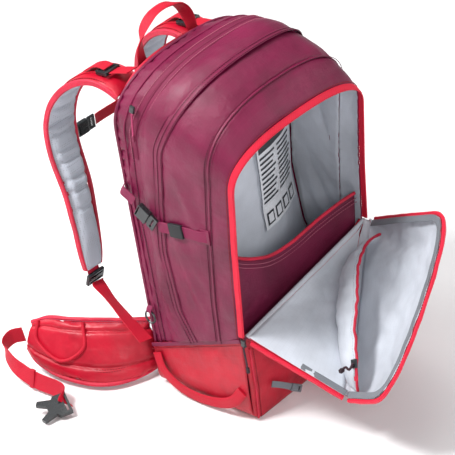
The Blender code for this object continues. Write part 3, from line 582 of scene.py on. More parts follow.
SIDE_FOLDS = (
    # (start y, z), (end y, z), width, height
    ((0.086, 0.250), (0.010, 0.118), 0.0060, 0.0030),
    ((0.084, 0.205), (0.030, 0.108), 0.0045, 0.0028),
    ((0.084, 0.170), (0.042, 0.104), 0.0040, 0.0024),
    ((0.082, 0.320), (0.045, 0.230), 0.0070, -0.0022),
    ((0.070, 0.400), (0.092, 0.350), 0.0050, 0.0022),
    ((0.060, 0.470), (0.090, 0.400), 0.0060, -0.0024),
    ((0.020, 0.330), (-0.045, 0.150), 0.0065, 0.0034),
    ((0.012, 0.250), (-0.030, 0.140), 0.0050, -0.0030),
    ((-0.010, 0.410), (-0.052, 0.300), 0.0080, 0.0036),
    ((0.000, 0.300), (-0.050, 0.215), 0.0050, 0.0030),
    ((-0.050, 0.420), (-0.060, 0.180), 0.0045, -0.0026),
)


def side_relief(points, seed):
    """Folds, slack and puckers of the bag's fabric, as a height outwards."""
    x, y, z = points[:, :, 0], points[:, :, 1], points[:, :, 2]
    flat = np.clip((np.abs(x) - 0.115) / 0.022, 0, 1)
    relief = np.zeros(x.shape)
    for start, end, width, height in SIDE_FOLDS:
        relief += ridge(y, z, start, end, width, height)
    relief *= flat * np.where(x < 0, 1.0, 0.8)
    relief += 0.0016 * wave_noise(y + x * 0.4, z, 0.10, 0.13, seed)
    relief += 0.0007 * wave_noise(y - x * 0.3, z + y, 0.035, 0.05, seed + 3)
    return relief


def along_guide(guide, s, out, forward=0.0):
    """A path on a guide, lifted off the bag by out and moved towards the next seam by forward."""
    curve = guide_curve(guide, s)
    outward = outward_on(curve)
    tangent = unit(np.gradient(curve, axis=0))
    ahead = unit(np.cross(outward, tangent))
    return curve + outward * out + ahead * forward, outward


def seam_across(curve, outward):
    return unit(np.cross(outward, unit(np.gradient(curve, axis=0))))


def outward_on(curve):
    """Directions away from the bag along an arch curve."""
    tangent = unit(np.gradient(curve, axis=0))
    out = np.cross(tangent, np.array((0.0, 1.0, 0.0)))
    out = unit(out)
    if (out[0] @ np.array((-1.0, 0, 0))) < 0:
        out = -out
    return out


def flat_profile(width, thickness, edge=0.35):
    """Cross-section of webbing or tape, rounded at its edges."""
    w, t = width / 2, thickness / 2
    e = min(edge * thickness, w * 0.3)
    return [(-w + e, -t), (-w / 3, -t), (w / 3, -t), (w - e, -t), (w, 0.0), (w - e, t), (w / 3, t),
            (-w / 3, t),
            (-w + e, t), (-w, 0.0)]


def round_profile(radius, sides=8):
    return [
        (radius * math.cos(2 * math.pi * k / sides), radius * math.sin(2 * math.pi * k / sides))
        for k in range(sides)
    ]


def stitches(name, path, across, material, pitch=0.0042, length=0.0028, width=0.0009, lift=0.0003):
    """A row of thread stitches along a path; across gives the surface's width direction there."""
    centre, wide, tangent, out = path_frames(resample(path_table(path, across), pitch))
    verts, faces = [], []
    shape = ((-0.5, 0.0), (-0.28, 1.0), (0.28, 1.0), (0.5, 0.0))
    for k in range(len(centre)):
        base = len(verts)
        for a, h in shape:
            for b in (-0.5, 0.5):
                verts.append(centre[k] + tangent[k] * a * length + wide[k] * b * width
                             + out[k] * (lift + h * width * 0.55))
        for a, _ in shape:
            for b in (-0.5, 0.5):
                verts.append(centre[k] + tangent[k] * a * length + wide[k] * b * width - out[k] * lift)
        for q in range(3):
            p = base + q * 2
            faces += [(p, p + 1, p + 3, p + 2), (p + 8, p + 10, p + 11, p + 9), (p, p + 2, p + 10, p + 8),
                      (p + 1, p + 9, p + 11, p + 3)]
        faces += [(base, base + 8, base + 9, base + 1), (base + 6, base + 7, base + 15, base + 14)]
    return new_object(name, verts, faces, [material], smooth=False)


def coil(name, path, across, material, width=0.0042, height=0.0016, pitch=0.0021, step=0.00052):
    """A closed zip's row of coil teeth: a low ribbed band."""
    centre, wide, _, out = path_frames(resample(path_table(path, across), step))
    length = path_length(centre)
    swell = 0.5 + 0.5 * np.cos(2 * np.pi * length / pitch)
    rings = []
    for a, b in ((-0.5, 0.0), (-0.32, 0.75), (0.0, 1.0), (0.32, 0.75), (0.5, 0.0), (0.0, -0.3)):
        high = height * b * (0.45 + 0.55 * swell) if b > 0 else height * b
        rings.append(centre + wide * (a * width * (0.86 + 0.14 * swell))[:, None]
                     + out * np.broadcast_to(high, length.shape)[:, None])
    rings = np.array(rings).transpose(1, 0, 2)
    rows, count, _ = rings.shape
    faces = []
    for i in range(rows - 1):
        for j in range(count):
            n = (j + 1) % count
            faces.append((i * count + j, i * count + n, (i + 1) * count + n, (i + 1) * count + j))
    faces.append(tuple(reversed(range(count))))
    faces.append(tuple((rows - 1) * count + j for j in range(count)))
    return new_object(name, rings.reshape(-1, 3), faces, [material])


# The front flap: closed shape, and where the open rest position puts it


def rim_s(z):
    low = seam_z(float(np.interp(0.11, *zip(*FRONT_RIM[5])))) + 0.0005
    return SIDE_SHARE * (z - low) / (FRONT_RIM[1] - low)


def rim_point(share, out=0.0):
    """Front rim from the left zip end (0) over the top to the right (1), moved out along the surface."""
    start, end = rim_s(ZIP_LEFT_Z), 1 - rim_s(ZIP_RIGHT_Z)
    s = start + (end - start) * share
    point = guide_point(FRONT_RIM, s)
    return point + unit(point - guide_point(GUSSET, s)) * out


def turned(points, about, axis, angle):
    """Points turned about a line, by one angle or by an angle for each point."""
    axis = unit(np.asarray(axis, float))
    arm = np.asarray(points, float) - about
    along = (arm @ axis)[..., None] * axis
    angle = np.asarray(angle, float)[..., None]
    return about + along + (arm - along) * np.cos(angle) + np.cross(axis, arm) * np.sin(angle)


AXIS_LEFT, AXIS_RIGHT = rim_point(0.0), rim_point(1.0)
AXIS_LEFT[1] = AXIS_RIGHT[1] = FRONT_Y - 0.008
AXIS_LEFT[2] += 0.002
AXIS_RIGHT[2] += 0.002
FOLD_SHARE = (rim_s(FOLD_Z) - rim_s(ZIP_LEFT_Z)) / (1 - rim_s(ZIP_RIGHT_Z) - rim_s(ZIP_LEFT_Z))
FOLD_POINT = rim_point(FOLD_SHARE, FLAP_EDGE_OUT)


def lower_open(points, share=1.0):
    """Closed flap points as they lie at rest, turned with the lower panel; share 0 keeps them on the pack."""
    return turned(points, AXIS_LEFT, AXIS_RIGHT - AXIS_LEFT, FLAP_OPEN * share)


def upper_open(points, share=1.0):
    """The same for the upper panel, which folds back on the lower one."""
    return lower_open(turned(points, FOLD_POINT, AXIS_RIGHT - FOLD_POINT, -FOLD_OPEN * share))


def flap_lower_points(rows, columns, start=0.0, end=1.0, edge=0.0, low_edge=0.0):
    t = np.linspace(start, end, rows)[:, None, None]
    low = AXIS_LEFT + (AXIS_RIGHT - AXIS_LEFT) * t
    high = FOLD_POINT + (AXIS_RIGHT - FOLD_POINT) * t
    span = np.linalg.norm(high - low, axis=2)
    u = np.linspace(0, 1, columns)[None, :]
    low_edge, edge = np.minimum(low_edge, span * 0.3), np.minimum(edge, span * 0.3)
    share = low_edge / span + (1 - (low_edge + edge) / span) * u
    points = low + (high - low) * share[:, :, None]
    bulge = FLAP_BULGE * 0.1 * np.sin(np.pi * np.clip(share, 0, 1)) ** 0.8 * np.sin(np.pi * t[:, :, 0])
    points[:, :, 1] -= bulge
    return points


def eased_rim():
    """The flap's closed edge, from the left zip end to the right, with soft corners."""
    rim = np.array([rim_point(v, FLAP_EDGE_OUT) for v in np.linspace(0, 1, 401)])
    for _ in range(110):
        rim[1:-1] = rim[1:-1] * 0.5 + (rim[:-2] + rim[2:]) * 0.25
    return rim


FLAP_RIM = eased_rim()


def flap_rim(share):
    at = np.clip(share, 0, 1) * 400
    return np.stack([np.interp(at, np.arange(401), FLAP_RIM[:, k]) for k in range(3)], axis=-1)


def flap_upper_points(t, columns, edge=0.0, rim_edge=0.0):
    """Closed outer surface of the upper flap panel, rows along t and columns from the fold to the rim."""
    t = np.asarray(t, float)
    base = FOLD_POINT + (AXIS_RIGHT - FOLD_POINT) * t[:, None]
    rim = flap_rim(FOLD_SHARE + (1 - FOLD_SHARE) * t)
    span = np.linalg.norm(rim - base, axis=1)[:, None]
    edge, rim_edge = np.minimum(edge, span * 0.3), np.minimum(rim_edge, span * 0.3)
    share = edge / span + (1 - (edge + rim_edge) / span) * np.linspace(0, 1, columns)[None, :]
    points = base[:, None, :] + (rim - base)[:, None, :] * share[:, :, None]
    crown = np.sin(np.pi * (share * 0.62 + 0.02)) * (1 - share**3) * np.sin(np.pi * t)[:, None] ** 0.6
    points[:, :, 1] -= FLAP_BULGE * crown
    return points, share


def on(obj, body, *nodes, slot=None):
    """obj rides on a body and stands for CAD nodes; the slot argument is not used."""
    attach(obj, body)
    if nodes:
        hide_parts(*nodes)
    return obj


# Camera, light and floor


def place_camera():
    back = Vector((
        -math.sin(CAMERA_AZIMUTH) * math.cos(CAMERA_ELEVATION),
        -math.cos(CAMERA_AZIMUTH) * math.cos(CAMERA_ELEVATION),
        math.sin(CAMERA_ELEVATION),
    ))
    right = Vector((math.cos(CAMERA_AZIMUTH), -math.sin(CAMERA_AZIMUTH), 0.0))
    up = back.cross(right)
    rolled_right = right * math.cos(CAMERA_ROLL) - up * math.sin(CAMERA_ROLL)
    rolled_up = right * math.sin(CAMERA_ROLL) + up * math.cos(CAMERA_ROLL)
    ahead = (-back + rolled_right * math.tan(AIM_RIGHT) + rolled_up * math.tan(AIM_UP)).normalized()
    side = ahead.cross(rolled_up).normalized()
    lens = bpy.data.cameras.new("camera")
    lens.lens = CAMERA_LENS
    lens.sensor_width = 36.0
    lens.clip_end = 30.0
    camera = bpy.data.objects.new("camera", lens)
    bpy.context.scene.collection.objects.link(camera)
    rows = Matrix((side, side.cross(ahead), -ahead)).transposed().to_4x4()
    camera.matrix_world = Matrix.Translation(CAMERA_TARGET + back * CAMERA_DISTANCE) @ rows
    bpy.context.scene.camera = camera


def area_light(name, at, size, power):
    data = bpy.data.lights.new(name, "AREA")
    data.size = size
    data.energy = power
    light = bpy.data.objects.new(name, data)
    light.location = at
    aim = Vector((0, 0, 0.28)) - Vector(at)
    light.rotation_euler = aim.to_track_quat("-Z", "Y").to_euler()
    bpy.context.scene.collection.objects.link(light)


def set_stage():
    world = bpy.data.worlds.new("studio")
    world.use_nodes = True
    world.node_tree.nodes["Background"].inputs[0].default_value = (1.0, 1.0, 1.0, 1.0)
    world.node_tree.nodes["Background"].inputs[1].default_value = 0.30
    bpy.context.scene.world = world
    bpy.context.scene.view_settings.view_transform = "Standard"
    area_light("key", (-1.2, 0.6, 2.3), 0.55, 64.0)
    area_light("front", (-1.4, -2.0, 1.5), 0.9, 20.0)
    area_light("fill", (1.5, -2.2, 1.5), 1.3, 24.0)
    area_light("rim", (-0.8, 2.0, 1.7), 1.2, 26.0)
    area_light("top", (0.4, 0.2, 2.6), 1.4, 20.0)
    g = Graph("studio_floor", roughness=0.85, specular=0.2)
    tone = g.ramp(g.noise("Object", 1.4, 2.0), ((0.3, (0.90, 0.90, 0.905)), (0.7, (0.93, 0.93, 0.935))))
    g.finish(tone, g.bump(g.noise("Object", 60.0), 0.0004))
    verts, faces = [], []
    for a in (-60.0, 60.0):
        for b in (-60.0, 60.0):
            verts.append((a, b, -0.0005))
    faces.append((0, 2, 3, 1))
    floor = new_object("studio_floor", verts, faces, [g.material], smooth=False)


# The bag


def build_bag():
    s = arch_s(231)
    low, _ = panel(BACK_EDGE, RIDGE, s, 9)
    high, _ = panel(RIDGE, MAIN_ZIP, s, 9, (0.0, 0.93))
    points = np.concatenate([low, high[:, 1:]], axis=1)
    u = np.linspace(0, 1, points.shape[1])
    girth = path_length(points[:, 8])
    wave = gathers(girth, 0.010, 21) + 0.5 * np.sin(girth / 0.0029)
    over = np.clip((girth - girth[-1] * 0.22) / 0.06, 0, 1) * np.clip((girth[-1] * 0.78 - girth) / 0.06, 0, 1)
    depth = (0.0005 + 0.0011 * over)[:, None] * (0.25 + np.abs(np.cos(np.pi * u)) ** 1.5)[None, :]
    lift = 0.0045 * np.sin(np.pi * u)[None, :] ** 0.6 + side_relief(points, 5) * 0.8 + wave[:, None] * depth
    points = push_out(points, lift - 0.0010)
    on(cloth("main_bag_back_band", points, SHELL_THICK, SHELL, LINING, SHELL), "pack", "main_bag",
       slot="shell_nylon")

    s = arch_s(261)
    points, u = panel(MAIN_ZIP, SIDE_SEAM, s, 35, (0.045, 0.985))
    inner = np.sin(np.pi * u)[None, :] ** 0.6
    girth = path_length(points.mean(axis=1))
    wave = gathers(girth, 0.012, 31)
    over = np.clip((girth - girth[-1] * 0.25) / 0.05, 0, 1) * np.clip((girth[-1] * 0.75 - girth) / 0.05, 0, 1)
    near_zip = np.exp(-u / 0.10)[None, :]
    lift = 0.0062 * inner + side_relief(points, 8) * (0.15 + inner * 0.85)
    lift += wave[:, None] * near_zip * (0.0004 + 0.0010 * over)[:, None] - 0.0008
    points = push_out(points, lift)
    crown = cloth("bag_crown_and_sides", points, SHELL_THICK, SHELL, LINING, SHELL)
    bend_lid(crown)
    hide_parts("top_lid")

    s = arch_s(261)
    low, _ = panel(SIDE_SEAM, GUSSET, s, 13, (0.03, 1.0))
    high, _ = panel(GUSSET, FRONT_RIM, s, 15)
    for name, points, crown_height, seed in (("front_arch_side", low, 0.0042, 11),
                                             ("front_arch_rim", high, 0.0030, 13)):
        columns = points.shape[1]
        u = np.linspace(0, 1, columns)
        inner = np.sin(np.pi * u)[None, :] ** 0.6
        girth = path_length(points.mean(axis=1))
        wave = gathers(girth, 0.016, seed)
        lift = crown_height * inner + side_relief(points, seed) * (0.2 + 0.8 * inner) - 0.0008
        lift += wave[:, None] * 0.0008 * (1 - inner)
        points = push_out(points, lift)
        piece = cloth(name, points, SHELL_THICK, SHELL, LINING, SHELL)
        on(piece, "pack", *(["front_compartment_shell"] if name == "front_arch_side" else []),
           slot="shell_nylon")

    seam_bands(arch_s(241))


def bend_lid(piece):
    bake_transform(piece)


def seam_bands(s):
    """Piping, flat-felled seams and their stitch rows round the arch."""
    curve, outward = along_guide(RIDGE, s, 0.0042)
    piece = sweep("ridge_seam_piping", curve, outward, round_profile(0.0014, 6), SIDE_WEBBING)
    on(piece, "pack", slot="shell_nylon")
    curve, outward = along_guide(BACK_EDGE, s, 0.0012)
    piece = sweep("back_edge_piping", curve, outward, round_profile(0.0026, 8), SHELL)
    on(piece, "pack", slot="shell_nylon")
    # the double seam between the main and the safety compartment
    curve, outward = along_guide(SIDE_SEAM, s, 0.0016)
    across = seam_across(curve, outward)
    across = across * (1 if across[60, 1] < 0 else -1)
    band = sweep("double_seam_band", curve, across, flat_profile(0.0175, 0.0011), SHELL, wobble=0.0004)
    on(band, "pack", slot="shell_nylon")
    for k, offset in enumerate((-0.0072, 0.0, 0.0072)):
        row = curve + across * offset + outward * 0.0010
        piece = stitches(f"double_seam_stitches_{k + 1}", row, across, STITCH_DARK)
        on(piece, "pack", slot="red_webbing")
    curve, outward = along_guide(GUSSET, s, 0.0004)
    across = seam_across(curve, outward)
    piece = sweep("gusset_seam", curve, across, flat_profile(0.0042, 0.0012), SHELL)
    on(piece, "pack", slot="shell_nylon")
    for k, offset in enumerate((-0.0050, 0.0050)):
        piece = stitches(f"gusset_stitches_{k + 1}", curve + across * offset + outward * 0.0012, across,
                         STITCH_DARK)
        on(piece, "pack", slot="red_webbing")


def main_seams():
    """The seam that carries on down both sides from the main zip's ends."""
    for name, s in (("left", np.linspace(0.0, 0.315, 60)), ("right", np.linspace(0.685, 1.0, 60))):
        curve, outward = along_guide(MAIN_ZIP, s, 0.0014)
        across = seam_across(curve, outward)
        band = sweep(f"main_seam_{name}", curve, across, flat_profile(0.0210, 0.0030, 0.5), SHELL,
                     wobble=0.0005)
        on(band, "pack", slot="shell_nylon")
        for k, offset in enumerate((-0.0078, 0.0078)):
            row = stitches(f"main_seam_{name}_stitches_{k + 1}",
                           curve + across * offset + outward * 0.0019, across,
                           STITCH_DARK)
            on(row, "pack", slot="red_webbing")


def main_zip():
    """The main zip over the top: two tapes and the coil."""
    s = np.linspace(0.30, 0.70, 161)
    curve, outward = along_guide(MAIN_ZIP, s, 0.0022)
    across = seam_across(curve, outward)
    across = across * (1 if across[10, 1] > 0 else -1)
    rear = sweep("main_zip_rear_tape", curve + across * 0.0068, across, flat_profile(0.0105, 0.0016),
                 ZIP_WINE)
    on(rear, "pack", slot="red_zip")
    front = sweep("main_zip_front_tape", curve - across * 0.0068, across, flat_profile(0.0105, 0.0016),
                  ZIP_WINE)
    bend_lid(front)
    teeth = coil("main_zip_coil", curve - across * 0.0002 + outward * 0.0004, across, ZIP_WINE, 0.0040,
                 0.0016)
    bend_lid(teeth)
    row = stitches("main_zip_stitches", curve + across * 0.0098 + outward * 0.0012, across, STITCH_PINK)
    on(row, "pack", slot="red_webbing")
    row = stitches("main_zip_front_stitches", curve - across * 0.0098 + outward * 0.0012, across, STITCH_PINK)
    bend_lid(row)


def inside_wall():
    """The grey wall between the compartments."""
    half_w = BASE_HALF_W - 0.007
    xs = np.linspace(-half_w, half_w, 61)
    rows = []
    for x in xs:
        half, spring, top, _, power, _ = SIDE_SEAM
        share = min(abs(x) / (half - 0.010), 1.0)
        rise = math.sin(math.acos(min(share ** (1 / power), 1.0))) ** power
        peak = spring - 0.010 + (top - spring) * rise
        corner = max(0.0, abs(x) - (BASE_HALF_W - BASE_CORNER))
        low = 0.010 + BASE_CORNER - math.sqrt(max(BASE_CORNER**2 - corner**2, 0.0))
        heights = np.linspace(low, peak, 81)
        rows.append([(x, divider_y(z), z) for z in heights])
    points = np.array(rows)
    x, z = points[:, :, 0], points[:, :, 2]
    ripple = 0.0022 * wave_noise(x, z, 0.09, 0.16, 41) + 0.0009 * wave_noise(x, z, 0.03, 0.06, 42)
    points[:, :, 1] += ripple * np.sin(np.pi * np.linspace(0, 1, 61))[:, None] ** 0.5
    points[:, :, 1] -= wall_swell(x, z)
    wall = cloth("compartment_wall", points, -0.0018, LINING, LINING, LINING)
    on(wall, "pack", "compartment_divider", slot="grey_lining")


def divider_y(z):
    return float(np.interp(z, [0.0, 0.10, 0.16, 0.26, 0.34, 0.43, 0.48, 0.54],
                           [-0.012, -0.006, 0.018, 0.029, 0.021, 0.009, -0.010, -0.042]))


WALL_BULGE = 0.046


def wall_swell(x, z):
    """How far the full main compartment pushes its front wall out."""
    sideways = np.cos(np.pi / 2 * np.clip(x / 0.134, -1, 1)) ** 0.8
    return WALL_BULGE * sideways * np.sin(np.pi * np.clip((z - 0.03) / 0.46, 0, 1)) ** 0.8


def label():
    """Plain printed panel on the compartment wall: bars and a few simple shapes, no lettering."""
    verts, faces, slots = [], [], []

    def plate(x0, x1, z0, z1, out, slot, cells=8):
        base = len(verts)
        for i in range(cells + 1):
            z = z0 + (z1 - z0) * i / cells
            for x in (x0, (x0 * 2 + x1) / 3, (x0 + x1 * 2) / 3, x1):
                verts.append((x, divider_y(z) - 0.0040 - float(wall_swell(x, z)) - out, z))
        for i in range(cells):
            for j in range(3):
                k = base + i * 4 + j
                faces.append((k, k + 1, k + 5, k + 4))
                slots.append(slot)

    plate(0.012, 0.116, 0.225, 0.372, 0.0, 0, 12)
    plate(0.016, 0.112, 0.352, 0.366, 0.0004, 1)
    for k in range(10):
        z = 0.342 - k * 0.0082
        plate(0.016, 0.056 - 0.004 * (k % 3), z, z + 0.0034, 0.0004, 1, 2)
        plate(0.064, 0.110 - 0.003 * ((k + 1) % 4), z, z + 0.0034, 0.0004, 1, 2)
    for k in range(4):
        plate(0.018 + k * 0.024, 0.036 + k * 0.024, 0.231, 0.251, 0.0004, 1, 2)
        plate(0.021 + k * 0.024, 0.033 + k * 0.024, 0.234, 0.248, 0.0008, 0, 2)
    piece = new_object("compartment_label", verts, faces, [LABEL, INK], slots, smooth=False)
    thick = piece.modifiers.new("thickness", "SOLIDIFY")
    thick.thickness = 0.0002
    on(piece, "pack", slot="grey_lining")


POCKET_EDGE = (
    (-0.136, -0.088, 0.288),
    (-0.100, -0.084, 0.262),
    (-0.050, -0.080, 0.238),
    (0.000, -0.078, 0.232),
    (0.060, -0.080, 0.238),
    (0.100, -0.084, 0.243),
    (0.136, -0.092, 0.248),
)


def tool_pocket():
    edge = smooth_path(POCKET_EDGE, 10)
    rows = []
    for x, y, z in edge:
        corner = max(0.0, abs(x) - (BASE_HALF_W - BASE_CORNER))
        low = 0.006 + BASE_CORNER - math.sqrt(max(BASE_CORNER**2 - corner**2, 0.0))
        heights = np.linspace(low, z - 0.003, 45)
        rows.append([(x, -0.080 + (y + 0.080) * ((h - low) / (z - low)) ** 2, h) for h in heights])
    points = np.array(rows)
    x, z = points[:, :, 0], points[:, :, 2]
    slack = np.sin(np.pi * np.clip((z - 0.05) / 0.2, 0, 1)) * np.sin(np.pi * np.linspace(0, 1,
                                                                                         len(rows)))[:, None]
    points[:, :, 1] += -0.0040 * slack + 0.0022 * wave_noise(x, z, 0.10, 0.14, 51) * slack
    piece = cloth("tool_pocket_panel", points, -0.0012, SHELL_DARK, LINING, SHELL_DARK)
    on(piece, "pack", "tool_pocket", slot="shell_nylon")
    top = points[:, -1] + (0, -0.0004, 0.0008)
    binding = sweep("tool_pocket_binding", top, (0, 1, 0.0), round_profile(0.0027, 8), RED_PLAIN,
                    wobble=0.0004)
    on(binding, "pack", slot="red_webbing")
    for k, drop in enumerate((0.0085, 0.0150)):
        row = points[:, -1] + (0, -0.0010, -drop)
        on(stitches(f"tool_pocket_stitches_{k + 1}", row, (0, 0, 1), STITCH_PINK), "pack", slot="red_webbing")


def front_zip():
    """Red tape round the opening, its coil and a stitch row."""
    shares = np.linspace(0.0, 1.0, 221)
    s = rim_s(ZIP_LEFT_Z) + (1 - rim_s(ZIP_RIGHT_Z) - rim_s(ZIP_LEFT_Z)) * shares
    rim, gusset = guide_curve(FRONT_RIM, s), guide_curve(GUSSET, s)
    ahead = unit(rim - gusset)
    tangent = unit(np.gradient(rim, axis=0))
    outward = np.cross(ahead, tangent)
    if outward[20, 0] > 0:
        outward = -outward
    path = rim + ahead * 0.0036 + outward * 0.0006
    tape = sweep("front_zip_tape", path, ahead, flat_profile(0.0092, 0.0020), ZIP_RED, wobble=0.0005)
    on(tape, "pack", "front_zip_rim", slot="red_zip")
    teeth = coil("front_zip_coil", rim + ahead * 0.0084 + outward * 0.0004, ahead, ZIP_RED, 0.0034, 0.0022)
    on(teeth, "pack", slot="red_zip")
    edge = rim - ahead * 0.0034 + outward * 0.0024
    on(stitches("front_zip_stitches", edge, ahead, STITCH_RED), "pack", slot="red_zip")


def base():
    """The red boat: sides and floor as one folded sheet, and the front panel."""
    rows = []
    for y in np.linspace(BACK_Y, FRONT_Y, 61):
        top = seam_z(y)
        ring = []
        for z in np.linspace(top, BASE_CORNER, 22)[:-1]:
            ring.append((-BASE_HALF_W, z))
        for angle in np.linspace(0, math.pi / 2, 9):
            ring.append((-BASE_HALF_W + BASE_CORNER * (1 - math.cos(angle)),
                         BASE_CORNER * (1 - math.sin(angle))))
        for x in np.linspace(-BASE_HALF_W + BASE_CORNER, 0, 12)[1:]:
            ring.append((x, 0.0))
        ring += [(-x, z) for x, z in reversed(ring[:-1])]
        rows.append([(x, y, z) for x, z in ring])
    points = np.array(rows)
    x, y, z = points[:, :, 0], points[:, :, 1], points[:, :, 2]
    up = np.clip((z - 0.012) / 0.03, 0, 1)
    edge = np.sin(np.pi * np.linspace(0, 1, 61))[:, None] ** 0.4
    relief = up * edge * (0.0024 * wave_noise(y, z, 0.09, 0.06, 61) + 0.0008 * wave_noise(y, z, 0.03, 0.03,
                                                                                          62))
    relief += up * edge * 0.0022 * np.sin(np.pi * np.clip(z / 0.1, 0, 1))
    outward = np.where(x < 0, -1.0, 1.0)
    points[:, :, 0] += outward * relief
    boat = cloth("base_boat_panel", points, 0.0026, RED_NYLON, LINING, RED_NYLON)
    on(boat, "pack", "base_boat", slot="red_nylon")
    for side, name in ((-1, "left"), (1, "right")):
        depths = np.linspace(BACK_Y, FRONT_Y, 40)
        top = np.array([(side * (BASE_HALF_W + 0.0022), y, seam_z(y) - 0.002) for y in depths])
        seam = sweep(f"base_seam_{name}", top, (0, 0, 1), flat_profile(0.0065, 0.0018), SHELL, wobble=0.0003)
        on(seam, "pack", slot="shell_nylon")
        low = top + (side * 0.0008, 0, -0.0065)
        on(stitches(f"base_seam_stitches_{name}", low, (0, 0, 1), STITCH_RED), "pack", slot="red_webbing")

    # front panel
    half = BASE_HALF_W - 0.0035
    xs = np.linspace(-half, half, 61)
    rows = []
    for x in xs:
        share = (x + half) / (2 * half)
        top = ZIP_LEFT_Z - 0.001 + (ZIP_RIGHT_Z - ZIP_LEFT_Z) * share
        corner = max(0.0, abs(x) - (BASE_HALF_W - BASE_CORNER))
        low = BASE_CORNER - math.sqrt(max(BASE_CORNER**2 - corner**2, 0.0))
        rows.append([(x, FRONT_Y - 0.0010, z) for z in np.linspace(low, top, 41)])
    points = np.array(rows)
    x, z = points[:, :, 0], points[:, :, 2]
    inner = sewn_edge(61, 41, 0.5, 0.5)
    points[:, :, 1] -= inner * (0.0085 + 0.0030 * wave_noise(x, z, 0.11, 0.09, 71)
                                + 0.0010 * wave_noise(x, z, 0.035, 0.03, 72))
    lip = np.clip(np.linspace(-3, 1, 41), 0, 1)[None, :] ** 2 * np.clip(np.linspace(0, 12, 61), 0, 1)[:, None]
    points[:, :, 1] -= 0.0056 * lip * np.clip(np.linspace(12, 0, 61), 0, 1)[:, None]
    front = cloth("base_front_panel_red", points, -0.0026, RED_NYLON, LINING, RED_NYLON)
    on(front, "pack", "base_front_panel", slot="red_nylon")
    strap = [(-0.1040, -0.1040, 0.0500), (-0.0960, -0.1085, 0.0460), (-0.0830, -0.1125, 0.0370),
             (-0.0740, -0.1140, 0.0300)]
    on(sweep("axe_loop_webbing", strap, (0.5, 0, 0.8), flat_profile(0.0100, 0.0014), DARK_TAPE, 0.002),
       "pack",
       slot="red_webbing")
    clip = hard_block("axe_loop_adjuster", (-0.0660, -0.1150, 0.0240), (0.80, -0.05, -0.60), (0, -1, 0.1),
                      (0.0230, 0.0120, 0.0060), DARK_TAPE, 0.0024, ((0.004, 0, 0.004, 0.007),))
    on(clip, "pack", slot="black_acetal")
    for side, name in ((-1, "left"), (1, "right")):
        column = points[2 if side < 0 else -3, :34]
        path = column + (side * 0.0015, -0.0006, 0)
        edge = sweep(f"base_corner_piping_{name}", path, (1, 0, 0), round_profile(0.0017, 8), RED_PLAIN)
        on(edge, "pack", slot="red_nylon")
        on(stitches(f"base_corner_stitches_{name}", path + (-side * 0.006, -0.0006, 0), (1, 0, 0),
                    STITCH_RED), "pack",
           slot="red_webbing")


